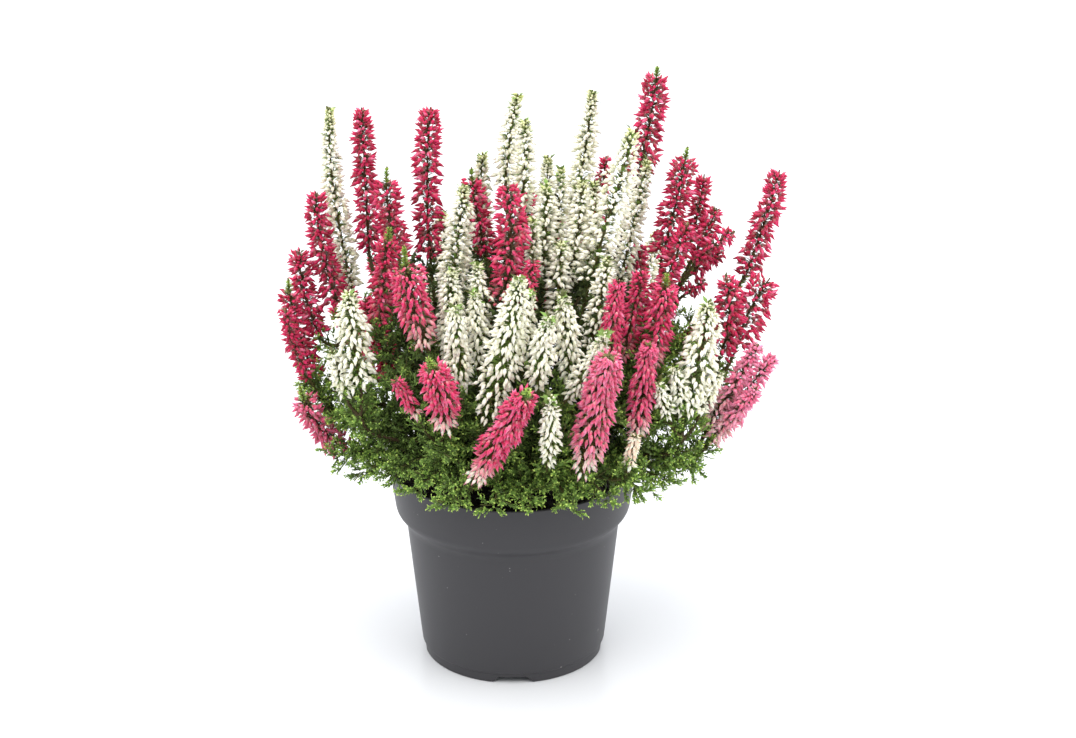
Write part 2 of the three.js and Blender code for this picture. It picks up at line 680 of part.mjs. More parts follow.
function lengthOf(points) {
  return points.slice(1).reduce((sum, point, i) => sum + point.distanceTo(points[i]), 0);
}

// One raceme on its arm of the fork, if it has one.
function racemeRod(axis, arm, reach, random) {
  const curve = new THREE.CatmullRomCurve3([...(arm ? arm.points.slice(0, -1) : []), ...axis.points]);
  const length = curve.getLength();
  const foot = arm ? lengthOf(arm.points) / length : 0;
  const bare = foot ? steps(0, foot, length, TWIG_STEP) : [];
  const buds = steps(foot, 1 - BUD_CLIMB / length, length, BUD_PITCH);
  const flowering = (share) => (share - foot) / (1 - foot);
  const rule = {
    shares: [0, ...bare, ...buds],
    point: BUD_CLIMB,
    coreAt(share) {
      if (!foot && !share) return FORK_RADIUS;
      if (share <= foot) return THREE.MathUtils.lerp(FORK_RADIUS, TWIG_TIP, share / foot);
      return BUD_CORE * reach * (1 - (1 - BUD_CORE_TAPER) * flowering(share) ** 2);
    },
    raise(band, i, share) {
      if (band < bare.length) return null;
      return {
        reach: budReach(reach, flowering(share)) * (1 - BUD_VARIATION * (1 - random())),
        lean: THREE.MathUtils.lerp(-BUD_NOD, BUD_CLIMB, flowering(share)) + random() - 0.5,
      };
    },
  };
  return rod(curve, rule);
}

function makeRacemes({ name, spikes, axes, arms }) {
  const random = seededRandom(Number(name.slice(-2)));
  const rods = axes.map((axis, i) => racemeRod(axis, arms[i], spikes[i][3], random));
  return geometryOf(fuse(rods));
}

// ---------- stems and sprays ----------

function makeStem(sector, plants, sprays, lines) {
  const trunk = new THREE.CylinderGeometry(
    TRUNK_RADIUS * TRUNK_TAPER,
    TRUNK_RADIUS,
    TRUNK_TOP - TRUNK_FOOT,
    TRUNK_SIDES,
  );
  trunk.rotateX(Math.PI / 2);
  trunk.translate(TRUNKS[sector].x, TRUNKS[sector].y, (TRUNK_TOP + TRUNK_FOOT) / 2);
  const twigs = plants.map(({ twig, arms, axes }) => twigRod(twig, arms.length ? arms : axes));
  const leafy = sprays.map(({ line }) => sprayRod(line, lines));
  return geometryOf(fuse([trunk, ...twigs, ...leafy]));
}

// A bare twig that ends a gap short of the lines that it carries, however they are tilted.
function twigRod({ points }, carried) {
  const last = points.at(-1).clone();
  const end = last.clone().sub(points.at(-2)).normalize();
  const tilts = carried.map((line) => line.points[1].clone().sub(line.points[0]).angleTo(end));
  last.addScaledVector(end, -GAP - FORK_RADIUS * Math.sin(Math.max(...tilts)));
  const curve = new THREE.CatmullRomCurve3([...points.slice(0, -1), last]);
  return rod(curve, {
    shares: [0, ...steps(0, 1, curve.getLength(), TWIG_STEP)],
    coreAt: (share) => THREE.MathUtils.lerp(TWIG_ROOT, TWIG_TIP, share),
  });
}

// A needle at a share of a side shoot's length. Those of a spray are as long as those at its foot.
function needleSpike(share) {
  return { reach: NEEDLE_REACH * (1 - NEEDLE_SHORTENING * share ** 2), lean: NEEDLE_LEAN };
}

const SHOOT_RULE = {
  shares: [0, 0.4, 1],
  point: NEEDLE_LEAN,
  coreAt: (share) => NEEDLE_CORE * THREE.MathUtils.lerp(1, SHOOT_CORE_TIP, share),
  raise: (band, i, share) => (band ? needleSpike(share) : null),
};

// A spray: a bare lower part and a leafy end with side shoots that keep clear of other pieces.
function sprayRod(line, lines) {
  const curve = new THREE.CatmullRomCurve3(line.points);
  const length = curve.getLength();
  const split = 1 - Math.min(LEAFY_SHARE, LEAFY_LENGTH / length);
  const bare = steps(0, split, length, TWIG_STEP);
  const leafy = steps(split, 1, length, NEEDLE_PITCH);
  let shoots = 0;
  return rod(curve, {
    shares: [0, ...bare, ...leafy],
    point: NEEDLE_LEAN,
    coreAt(share) {
      if (share < split) return THREE.MathUtils.lerp(TWIG_ROOT, TWIG_TIP, share / split);
      return NEEDLE_CORE * THREE.MathUtils.lerp(...SPRAY_CORE, (share - split) / (1 - split));
    },
    raise(band, i, share, outwards, along) {
      const leaf = band - bare.length;
      if (leaf < 0) return null;
      // On average one side shoot to each ring, and none at the last.
      if (leaf === leafy.length - 1 || shoots > leaf) return needleSpike(0);
      const scale = 1 - SHOOT_SHORTENING * (leaf / leafy.length);
      const shoot = shootCurve(curve.getPointAt(share), outwards, along, scale);
      if (!staysClear(shoot, line, lines)) return needleSpike(0);
      shoots++;
      return { curve: shoot, rule: SHOOT_RULE };
    },
  });
}

// A side shoot leans out from its stem and turns a little towards the stem's tip.
function shootCurve(root, outwards, along, scale) {
  const lean = THREE.MathUtils.degToRad(SHOOT_ANGLE);
  const way = outwards.clone().multiplyScalar(Math.sin(lean)).addScaledVector(along, Math.cos(lean));
  const from = root.clone().addScaledVector(outwards, NEEDLE_CORE / 2);
  const middle = from.clone().addScaledVector(way, (SHOOT_LENGTH * scale) / 2);
  const end = middle.clone().addScaledVector(way, (SHOOT_LENGTH * scale) / 2);
  end.addScaledVector(along, SHOOT_TURN);
  return new THREE.QuadraticBezierCurve3(from, middle, end);
}

// Shoots placed so far, as lines that later shoots keep clear of.
const shootLines = [];

function staysClear(shoot, line, lines) {
  const points = shoot.getSpacedPoints(SHOOT_POINTS).slice(1);
  const room = NEEDLE_REACH + GAP;
  const offRim = ({ x, y, z }) => Math.hypot(x, y) > RIM_RADIUS + room || z > POT_HEIGHT + room;
  if (!points.every(offRim)) return false;
  const farFrom = (spot, least) => points.every((point) => point.distanceTo(spot) > least);
  const clear = [...lines, ...shootLines].every(
    (other) => other === line || other.points.every((spot, i) => farFrom(spot, other.room[i] + room)),
  );
  if (clear) shootLines.push({ points, room: points.map(() => room) });
  return clear;
}

// ---------- assembly ----------

const plants = RACEMES.map(growRacemes);
const sprays = SPRAYS.map(growSpray);
const lines = [...plants.flatMap((plant) => plant.lines), ...sprays.map((spray) => spray.line)];
const ties = plants.flatMap(({ twig, arms, axes }) =>
  arms.length
    ? arms.flatMap((arm, i) => [
        [twig.points.at(-1), arm.points[0]],
        [arm.points.at(-1), axes[i].points[0]],
      ])
    : [[twig.points.at(-1), axes[0].points[0]]],
);
bendClear(lines, ties);

const heather = new THREE.Group();
heather.add(part("pot", makePot(), COLOURS.pot));
heather.add(part("soil", makeSoil(), COLOURS.soil));
for (let sector = 0; sector < SECTORS; sector++) {
  const carried = plants.filter((plant) => plant.sector === sector);
  const leafy = sprays.filter((spray) => spray.sector === sector);
  heather.add(part(stemName(sector), makeStem(sector, carried, leafy, lines), COLOURS.leaf));
}
for (const plant of plants) {
  const [kind] = plant.name.split("_");
  heather.add(part(plant.name, makeRacemes(plant), COLOURS[kind]));
}

export default heather;
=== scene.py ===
"""A potted heather: a matt plastic pot of peaty soil, woody stems with feathery green sprigs, and
racemes of closed pink, pale and white buds. Arrays are in millimetres until a mesh is filled."""

import json

import bpy
import numpy as np
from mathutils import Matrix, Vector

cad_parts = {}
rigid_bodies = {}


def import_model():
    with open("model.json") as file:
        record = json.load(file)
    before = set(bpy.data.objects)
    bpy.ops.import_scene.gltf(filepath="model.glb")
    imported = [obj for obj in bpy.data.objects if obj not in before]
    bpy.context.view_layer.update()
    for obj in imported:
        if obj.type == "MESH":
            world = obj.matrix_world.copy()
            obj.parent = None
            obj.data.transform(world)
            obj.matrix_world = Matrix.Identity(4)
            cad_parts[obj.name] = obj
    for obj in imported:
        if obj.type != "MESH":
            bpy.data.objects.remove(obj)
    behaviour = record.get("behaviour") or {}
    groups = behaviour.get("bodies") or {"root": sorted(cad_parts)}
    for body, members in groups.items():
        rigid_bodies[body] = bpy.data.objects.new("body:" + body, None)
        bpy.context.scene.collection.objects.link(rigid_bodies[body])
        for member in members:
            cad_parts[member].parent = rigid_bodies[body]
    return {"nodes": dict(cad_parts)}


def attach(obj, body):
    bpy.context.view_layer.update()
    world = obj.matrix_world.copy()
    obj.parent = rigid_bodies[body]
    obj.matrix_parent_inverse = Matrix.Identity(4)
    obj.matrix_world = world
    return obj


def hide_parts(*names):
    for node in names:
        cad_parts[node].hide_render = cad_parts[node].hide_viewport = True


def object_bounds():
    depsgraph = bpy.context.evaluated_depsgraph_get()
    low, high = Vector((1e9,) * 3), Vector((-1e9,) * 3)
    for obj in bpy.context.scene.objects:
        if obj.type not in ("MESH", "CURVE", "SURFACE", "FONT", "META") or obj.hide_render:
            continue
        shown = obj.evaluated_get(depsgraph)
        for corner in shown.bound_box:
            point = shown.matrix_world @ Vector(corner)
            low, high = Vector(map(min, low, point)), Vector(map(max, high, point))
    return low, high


for leftover in list(bpy.data.objects):
    bpy.data.objects.remove(leftover)
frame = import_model()
cad_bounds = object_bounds()

MM = 0.001
UP = np.array([0.0, 0.0, 1.0])
GOLDEN = np.pi * (3 - np.sqrt(5))
TURN = 6.3  # about one whole turn, for random turns
PHASE = 6  # range of the random start of a wave

# ----- the plant's own measures, as in the solids -----

RIM_RADIUS = 60.0
POT_HEIGHT = 98.6
WALL = 1.3
COLLAR_FOOT = (57.3, 76.4)  # radius and height
BODY_TOP = (52.3, 71.0)
BODY_FOOT_RADIUS = 44.7
BASE_RADIUS = 44.1
SKIRT_Z = 5.0
SKIRT_STEP = 0.6
FLOOR = 4.0
CHANNEL_START = 18.0
DRAIN_RADIUS = 3.5
DRAIN_PLACE = 28.0
SOIL_TOP = 89.5
SECTORS = 6
SECTOR_TURN = 12.0
TRUNK_PLACE = 13.0
TRUNK_RADII = (2.6, 1.6)
TRUNK_ENDS = (74.0, 120.0)
LOWEST_TWIG = 98.0
HIGHEST_END = 235.0
TWIG_RADII = (1.3, 0.8)
TWIG_START = 45.0
TWIG_BOW = 0.35
TWIG_END = 22.0
SPRAY_SOURCE_Z = 105.0
RACEME_TAPER = 0.5
RACEME_BLUNTNESS = 4

# ----- finer measures of the racemes -----

# size: a bud's length and width. fuller: how far buds pass the points of the solids. closing: how
# much a raceme narrows at its tip, and the power of that. pairs: pairs of buds to a millimetre of
# a raceme of usual reach. more: the share of them added in front. tip: how much smaller the
# topmost buds are. leafy: the size of the small leaves.
KINDS = {
    "pink": {"size": (5.3, 2.1), "fuller": 1.15, "closing": (0.4, 5), "pairs": 1.8,
             "more": 0.24, "tip": 0.25, "leafy": 1.0},
    "pale": {"size": (5.0, 2.0), "fuller": 1.22, "closing": (0.5, 3), "pairs": 1.8,
             "more": 0.17, "tip": 0.25, "leafy": 1.0},
    "white": {"size": (4.6, 2.2), "fuller": 1.25, "closing": (0.68, 4), "pairs": 1.674,
              "more": 0.17, "tip": 0.4, "leafy": 1.35},
}
USUAL_REACH = 7
PAIRS_BY_REACH = (0.75, 1.25)  # least and most, against a raceme of usual reach
SIZE_BY_REACH = (0.82, 1.0)
BUD_VARIETY = (0.88, 1.12)
BUD_RINGS = ((0.12, 0.72), (0.41, 1.0))  # place along a bud, and share of its width
BUD_CORNERS = (4, 6)  # of racemes at the back and at the front
SEPAL_FOLD = 0.15  # how far the seams between sepals sink in
BUD_CROWDING = 1.15  # towards the tip of a raceme
PAIR_OPENING = (0.25, 0.6)  # half the angle between the buds of a pair
BUD_LIFT_PLACES = (0.0, 0.35, 0.8, 1.0)
BUD_LIFT_TALL = (-0.25, -0.1, 0.1, 0.9)  # slope of the buds of upright racemes, from foot to tip
BUD_LIFT_FRONT = (-0.6, -0.5, -0.25, 0.85)  # and of those that lean over the rim
LIFT_VARIETY = 0.33
BUD_SHAKE = 0.18
NODDING = 0.1
LEAST_STALK = 0.6
STALK_WIDTH = 0.9

# The front look of a raceme grows from the first y of its middle to the second. It is slimmer,
# with smaller buds that turn to the front, nod, differ more and crowd towards the tip.
FRONT = (-20, -60)
FRONT_FULLER = 0.98
FRONT_CROWDING = 0.25
FRONT_SHORTER = 0.1
FRONT_NARROWER = 0.12
FRONT_SIDE = np.array([0.0, -0.32, 0.0])
FRONT_NODDING = (0.7, 0.1)  # of the buds that face forwards, and of all
FRONT_SHAKE = 0.08
FRONT_SLIM_FOOT = (0.3, 0.35)  # how much slimmer the foot is, and how far up

STEM_RADII = (0.75, 0.35)
STEM_STEP = 4
STEM_SIDES = 5
SMALL_LEAF = ((2.2, 3.8), 1.6)  # lengths and width
TUFT_LEAVES = 9  # to a millimetre
TUFT_LEAF = (2.9, 1.2, 1.05)  # length, how much less of it at the tip, and width

# Racemes that end in a tuft of young leaves, and how long it is.
TUFTED = {
    "pink_raceme_14": 6, "pink_raceme_06": 6, "pink_raceme_05": 11, "pink_racemes_12": 6,
    "pink_racemes_03": 6, "pink_raceme_16": 5, "pink_raceme_25": 4, "pink_racemes_18": 5,
    "pink_raceme_10": 6, "pink_raceme_01": 5, "pink_raceme_04": 7,
}
# Pink racemes with paler buds, and how much paler.
PALER = {"pink_raceme_02": 0.4, "pink_raceme_04": 0.45, "pink_raceme_11": 0.15}
PEACHY = ("pale_raceme_02",)  # its buds are cream with a peach tinge

# ----- finer measures of the leafy parts -----

AXIS_POINTS = 41  # on the axis of a raceme or spray
TWIG_POINTS = 25
SHOOT_POINTS = 5
TRUNK_RINGS = 13
TRUNK_SIDES = 12
TWIG_STEP = 3
TWIG_SIDES = 6
ARM_LENGTH = 25  # shorter twigs are arms of a fork
ARM_SLIMMER = 0.8
SPRAY_STEP = 4
SPRAY_CUT = 33  # points of a spray with wood, so that no bare end stands out of the leaves
SPRAY_SIDES = 5
SPRAY_RADII = (0.8, 0.45)
LEAST_SPRAY = 20
SHOOT_RADII = (0.38, 0.2)
SHOOT_SIDES = 3

# Plumes, from a share of the way out of the plant to another: how many side shoots, from leaf to
# leaf along them, a leaf's length and width. Leaves without a width are pairs; without a pitch
# the side shoots are bare and have the width.
PLUMES = (
    (-1, 0.55, (6, 0, 0, 2.6)),
    (0.55, 0.8, (7, 1.7, 2.9, 0)),
    (0.8, 9, (7, 0.78, 1.7, 0.8)),
)
PLUME_WIDTH = 0.8
PLUME_RISE = 0.14
SHOOT_WIDTH = 1.5
SHOOT_WAY = (0.55, 0.85)  # of a side shoot: outwards and onwards
SHOOT_LENGTH = 0.58  # of the longest side shoot, to its plume
LEAF_WAY = (0.6, 0.85)

# Plumes along a twig, a spray or a side shoot: where they start, how far apart they are, how
# long, and how much shorter at the end.
TWIG_PLUMES = (0.1, 2.7, (8, 13), 0.0)
SPRAY_PLUMES = (0.0, 1.25, (9, 13), 0.4)
SHOOT_PLUMES = (0.1, 3.0, (6.5, 9.5), 0.3)
TWIG_LEAVES = (0.2, 0.7)
TWIG_LEAF = ((2, 3.6), 1.0)  # lengths and width
# Side shoots: where they start on a twig or spray, and how far apart they are.
TWIG_SHOOTS = (0.4, 6.0)
TWIG_SHOOTS_LAST = (0.4, 5.2)  # in the last sixth, at the right
SPRAY_SHOOTS = (0.0, 3.5)
SIDE_SHOOT = ((9, 16), 0.35, 0.2)  # lengths, how much shorter at the end, and bow
BASAL_SPRIGS = (22, 22, 16, 6, 6, 12)  # low on the trunk of each sixth
BASAL_FEET = (93, 116)
BASAL_FAN = 0.75
BASAL_SLOPE = (0.25, 0.8)
BASAL_SPRIG = ((22, 38), 0.15)  # lengths and bow
LEAFY_TOP = (218.0, 55.0)  # height of the leafy part in the middle, and how much less outside
LEAFY_REACH = (96.0, 74.0)  # half the width and depth of the leafy part
OFF_RIM = 2.5  # what a sprig keeps off the pot
OVER_RIM = 4.0  # how far inside the rim's edge a sprig has to be above the pot

# ----- finer measures of the pot and the soil -----

CHANNEL_WIDTHS = (19.5, 13.5)  # at the foot and above it, wider than in the solids
CHANNEL_HEIGHT = 3.1
POT_SIDES = 120
DRAIN_SIDES = 24
SHARP_EDGE = 40  # degrees
SOIL_RIM = 57.0
SOIL_GAP = 0.3  # between the soil and the pot
SOIL_RINGS = 34
SOIL_SIDES = 100
GRAINS = 2600
GRAIN_SIZES = (0.7, 2.2)
CRUMB_DEPTH = (0.9, 0.7)  # how low the soil lies between grains, and how high they stand


def colour(red, green, blue):
    """A screen colour from 0 to 255 as linear light."""
    share = np.array([red, green, blue]) / 255
    return np.where(share <= 0.04045, share / 12.92, ((share + 0.055) / 1.055) ** 2.4)


CRIMSON = colour(154, 0, 42)
ROSE = colour(212, 26, 92)
# a pale pink: the own colour of pale buds, and the painted highlight on pink sepals
BLUSH_AND_HIGHLIGHT = colour(246, 162, 190)
CREAM = colour(252, 249, 228)
PEACH = colour(244, 190, 160)
BUD_GREEN = colour(196, 208, 110)
LEAF_YOUNG = colour(192, 216, 104)
LEAF_GREEN = colour(122, 157, 72)
# dark end of the foliage's colours: older leaves, and painted shade deep inside the plant
OLD_LEAF_AND_SHADE = colour(63, 75, 38)
OLIVE = colour(104, 102, 54)
BARK = colour(84, 68, 46)
DARK_STEM = colour(100, 74, 54)
PLASTIC = colour(50, 49, 52)
DUST = colour(140, 138, 136)
WET_PEAT = colour(34, 27, 21)


# ----- arrays -----

def unit(vectors):
    """Vectors divided by their length."""
    return vectors / np.maximum(np.linalg.norm(vectors, axis=-1, keepdims=True), 1e-9)


def across(ways, around):
    """For each direction, a side and a front square to it, turned by an angle about it."""
    helper = np.where(np.abs(ways[..., 2:3]) > 0.9, [1.0, 0.0, 0.0], UP)
    side = unit(np.cross(helper, ways))
    front = np.cross(ways, side)
    cos, sin = np.cos(around)[..., None], np.sin(around)[..., None]
    return side * cos + front * sin, front * cos - side * sin


def smooth(low, high, value):
    """0 below low, 1 above high and an S-shaped rise between them."""
    share = np.clip((value - low) / (high - low), 0, 1)
    return share * share * (3 - 2 * share)


def blend(first, second, share):
    """Colours mixed by a share for each row."""
    return first + (second - first) * np.asarray(share)[..., None]


def even_angles(count):
    """Angles round a whole circle."""
    return 2 * np.pi * np.arange(count) / count


def ring(radius, height, angle):
    """A level circle of points about the upright axis."""
    return np.stack(
        [radius * np.cos(angle), radius * np.sin(angle), np.full(len(angle), height)], axis=1)


def above(place, heights):
    """Points above a place on the table."""
    count = len(heights)
    return np.stack([np.full(count, place[0]), np.full(count, place[1]), heights], axis=1)


def parabola(first, corner, last, t):
    """A curve that leaves the first point towards a corner and reaches the last one from it."""
    return first * (1 - t) ** 2 + 2 * corner * t * (1 - t) + last * t ** 2


def bowed(roots, ways, lengths, bow):
    """Paths that bow up: root + way * length * t + up * bow * length * t * t."""
    t = np.linspace(0, 1, SHOOT_POINTS)[:, None]
    long = lengths[:, None, None]
    return roots[:, None] + ways[:, None] * long * t + np.array([0.0, 0.0, bow]) * long * t ** 2


def path_length(path):
    """The length of a path of points."""
    return np.linalg.norm(np.diff(path, axis=0), axis=1).sum()


def sampled(path, shares):
    """Places and directions at shares of a path of evenly spaced points."""
    at = np.clip(shares, 0, 1) * (len(path) - 1)
    low = np.minimum(at.astype(int), len(path) - 2)
    rest = (at - low)[..., None]
    ways = unit(np.gradient(path, axis=0))
    place, way = (rows[low] * (1 - rest) + rows[low + 1] * rest for rows in (path, ways))
    return place, unit(way)


class Growth:
    """Corners, triangles and colours of many small closed bodies that become one mesh."""

    def __init__(self):
        self.corners, self.faces, self.tints, self.count = [], [], [], 0

    def add(self, corners, template, tints):
        """Bodies of the same make: corners (bodies, each, 3), their triangles, tints alike."""
        bodies, each = corners.shape[:2]
        if bodies == 0:
            return
        starts = self.count + each * np.arange(bodies)
        self.faces.append((starts[:, None, None] + template[None]).reshape(-1, 3))
        self.corners.append(corners.reshape(-1, 3))
        self.tints.append(np.broadcast_to(tints, corners.shape).reshape(-1, 3))
        self.count += bodies * each


def spindle_faces(rings, corners):
    """Triangles of a body of rings with a pole at each end, facing outwards."""
    i = np.arange(corners)
    j = (i + 1) % corners
    faces = [np.stack([np.zeros_like(i), 1 + j, 1 + i], 1)]
    for row in range(rings - 1):
        low, high = 1 + row * corners, 1 + (row + 1) * corners
        faces.append(np.stack([low + i, low + j, high + j], 1))
        faces.append(np.stack([low + i, high + j, high + i], 1))
    last = 1 + (rings - 1) * corners
    faces.append(np.stack([last + i, last + j, np.full_like(i, last + corners)], 1))
    return np.concatenate(faces)


def spindles(roots, ways, around, length, width, rings, corners, fold=0.0):
    """Closed bodies with a point at each end. A corner lies at root + way * length * place, plus
    a circle of half the width times the ring's girth; every second corner is folded in."""
    side, front = across(ways, around)
    angle = even_angles(corners)
    lobes = 1 - fold * (np.arange(corners) % 2)
    circle = (side[:, None] * (np.cos(angle) * lobes)[None, :, None]
              + front[:, None] * (np.sin(angle) * lobes)[None, :, None])
    along = ways * length[:, None]
    rows = [roots[:, None]]
    for place, girth in rings:
        centre = roots + along * place
        rows.append(centre[:, None] + circle * (girth * width / 2)[:, None, None])
    rows.append((roots + along)[:, None])
    return np.concatenate(rows, axis=1)


KITE = np.array([[0, 1, 3], [0, 3, 2], [0, 2, 1], [1, 2, 3]])
LEAF_WAIST = 0.42  # where a leaf is widest
LEAF_FOLD = 0.22  # how far its sides stand up, to its width
PAIR_MIDDLE = (0.55, 0.2)  # of a pair of leaves: how far ahead, and how high


def add_leaves(growth, roots, ways, ups, lengths, width, tints):
    """Folded leaves as closed kites: a root, two corners that stand out sideways and a little up,
    and a tip."""
    width = np.broadcast_to(width, lengths.shape)
    side = unit(np.cross(ways, ups))
    up = np.cross(side, ways)
    waist = roots + ways * (LEAF_WAIST * lengths)[:, None] + up * (LEAF_FOLD * width)[:, None]
    half = side * (0.5 * width)[:, None]
    tips = roots + ways * lengths[:, None]
    growth.add(np.stack([roots, waist - half, waist + half, tips], axis=1), KITE, tints[:, None])


def add_leaf_pairs(growth, spots, ways, sides, span, tints):
    """Two opposite leaves as one body: a back corner on the shoot, a tip out to each side and
    forwards, and a raised middle between them."""
    up = np.cross(sides, ways)
    ahead, half = ways * (LEAF_WAIST * span)[:, None], sides * (0.5 * span)[:, None]
    middle = spots + PAIR_MIDDLE[0] * ahead + up * (PAIR_MIDDLE[1] * span)[:, None]
    growth.add(np.stack([spots, spots + ahead - half, spots + ahead + half, middle], axis=1),
               KITE, tints[:, None])


def add_tubes(growth, paths, radii, sides, tint):
    """Round bodies along paths (bodies, steps, 3), all with the same radius at each step."""
    along = unit(np.gradient(paths, axis=1))
    side, front = across(along, np.zeros(along.shape[:2]))
    angle = even_angles(sides)
    circle = side[:, :, None] * np.cos(angle)[:, None] + front[:, :, None] * np.sin(angle)[:, None]
    rings = paths[:, :, None] + circle * radii[:, None, None]
    corners = [paths[:, :1], rings.reshape(len(paths), -1, 3), paths[:, -1:]]
    growth.add(np.concatenate(corners, axis=1), spindle_faces(len(radii), sides), tint)


def filled(name, growth, material, smooth_faces=True):
    """A piece from a growth, with its colours in the attribute tint."""
    corners = np.concatenate(growth.corners)
    faces = np.concatenate(growth.faces)
    tints = np.concatenate(growth.tints)
    mesh = bpy.data.meshes.new(name)
    mesh.vertices.add(len(corners))
    mesh.vertices.foreach_set("co", (corners * MM).astype(np.float32).ravel())
    mesh.loops.add(faces.size)
    mesh.loops.foreach_set("vertex_index", faces.astype(np.int32).ravel())
    mesh.polygons.add(len(faces))
    mesh.polygons.foreach_set("loop_start", np.arange(0, faces.size, 3, dtype=np.int32))
    mesh.polygons.foreach_set("use_smooth", np.full(len(faces), smooth_faces))
    mesh.update(calc_edges=True)
    paint = mesh.color_attributes.new("tint", "FLOAT_COLOR", "POINT")
    rgba = np.concatenate([tints, np.ones((len(tints), 1))], axis=1)
    paint.data.foreach_set("color", rgba.astype(np.float32).ravel())
    mesh.materials.append(material)
    piece = bpy.data.objects.new(name, mesh)
    bpy.context.scene.collection.objects.link(piece)
    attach(piece, "root")
    return piece


# ----- reading the solids -----

GRID = (1e5, 100.0)  # steps to a metre and to a millimetre, within which corners are one
LEAST_POINT = 0.8
FEWEST_POINTS = 4
BENT_FROM = (8, 14)  # corners that an axis needs for a square and for a cubic line
BODY_SHARE = 0.85


def welded(node):
    """Corners of a CAD solid in millimetres, each once, and its triangles."""
    mesh = frame["nodes"][node].data
    places = np.empty(3 * len(mesh.vertices), np.float32)
    mesh.vertices.foreach_get("co", places)
    mesh.calc_loop_triangles()
    faces = np.empty(3 * len(mesh.loop_triangles), np.int32)
    mesh.loop_triangles.foreach_get("vertices", faces)
    grid = np.round(places.reshape(-1, 3).astype(float) * GRID[0]).astype(np.int64)
    unique, index = np.unique(grid, axis=0, return_inverse=True)
    return unique / GRID[1], index.reshape(-1)[faces].reshape(-1, 3)


def raised_points(node):
    """Points that only three triangles meet at, the three corners that each stands on, and
    whether each corner of the solid carries none."""
    places, faces = welded(node)
    meeting = np.bincount(faces.ravel(), minlength=len(places))
    pointed = meeting == 3
    has = pointed[faces]
    rows = faces[has.sum(1) == 1]
    tips = rows[pointed[rows]]
    others = rows[~pointed[rows]].reshape(-1, 2)
    order = np.argsort(tips, kind="stable")
    tips, others = tips[order], others[order]
    whole = np.bincount(tips, minlength=len(places))[tips] == 3
    tips, others = tips[whole][::3], others[whole].reshape(-1, 6)
    bases = np.sort(others, axis=1)[:, ::2]
    height = np.linalg.norm(places[tips] - places[bases].mean(1), axis=1)
    keep = height > LEAST_POINT
    bare = np.ones(len(places), bool)
    bare[tips[keep]] = False
    bare[bases[keep].ravel()] = False
    return places, tips[keep], bases[keep], bare


def families(count, bases):
    """Labels that spread over bases with a corner in common, until none changes."""
    label = np.arange(count)
    while True:
        low = label[bases].min(1)
        new = label.copy()
        np.minimum.at(new, bases.ravel(), np.repeat(low, 3))
        if np.array_equal(new, label):
            return label[bases[:, 0]]
        label = new


def bluntness(share):
    """How far buds reach at a share of an axis, as a share of their reach at its foot."""
    return 1 - (1 - RACEME_TAPER) * share ** RACEME_BLUNTNESS


def read_axes(node, towards):
    """The axes that the raised points of a solid stand round: for each, a smooth line through
    the middles of its rings and how far its points reach. towards(middle) tells the tip's side."""
    places, tips, bases, bare = raised_points(node)
    label = families(len(places), bases)
    axes = []
    for family in np.unique(label):
        mine = label == family
        if mine.sum() < FEWEST_POINTS:
            continue
        feet = places[np.unique(bases[mine])]
        peaks = places[tips[mine]]
        middle = feet.mean(0)
        way = np.linalg.svd(feet - middle)[2][0]
        way = way * np.sign(way @ towards(middle))
        run = (feet - middle) @ way
        peak_run = (peaks - middle) @ way
        order = 1 + sum(len(feet) > few for few in BENT_FROM)
        low, high = run.min(), max(run.max(), peak_run.max())
        fit = [np.polyfit(run, feet[:, i], order) for i in range(3)]
        at = np.linspace(low, high, AXIS_POINTS)
        flat = np.clip(at, low, run.max())
        path = np.stack([np.polyval(line, flat) for line in fit], axis=1)
        ahead = np.array([np.polyval(np.polyder(line), run.max()) for line in fit])
        path += (at - flat)[:, None] * ahead
        centre = np.stack([np.polyval(line, np.clip(peak_run, low, high)) for line in fit], axis=1)
        share = np.clip((peak_run - low) / (high - low), 0, 1)
        out = np.linalg.norm(peaks - centre, axis=1) / bluntness(share)
        body = share < BODY_SHARE
        axes.append({"path": path, "reach": np.median(out[body]) if body.any() else out.max(),
                     "length": path_length(path)})
    return axes, places[bare]


# ----- materials -----

def shader(name):
    """A new material, its nodes and its principled shader."""
    material = bpy.data.materials.new(name)
    material.use_nodes = True
    tree = material.node_tree
    return material, tree, tree.nodes["Principled BSDF"]


def grain(tree, target, scale, distance, strength):
    """Fine relief from a noise on Object coordinates."""
    place = tree.nodes.new("ShaderNodeTexCoord")
    noise = tree.nodes.new("ShaderNodeTexNoise")
    noise.inputs["Scale"].default_value = scale
    noise.inputs["Detail"].default_value = 3.0
    bump = tree.nodes.new("ShaderNodeBump")
    bump.inputs["Distance"].default_value = distance
    bump.inputs["Strength"].default_value = strength
    tree.links.new(place.outputs["Object"], noise.inputs["Vector"])
    tree.links.new(noise.outputs["Fac"], bump.inputs["Height"])
    tree.links.new(bump.outputs["Normal"], target.inputs["Normal"])
    return place


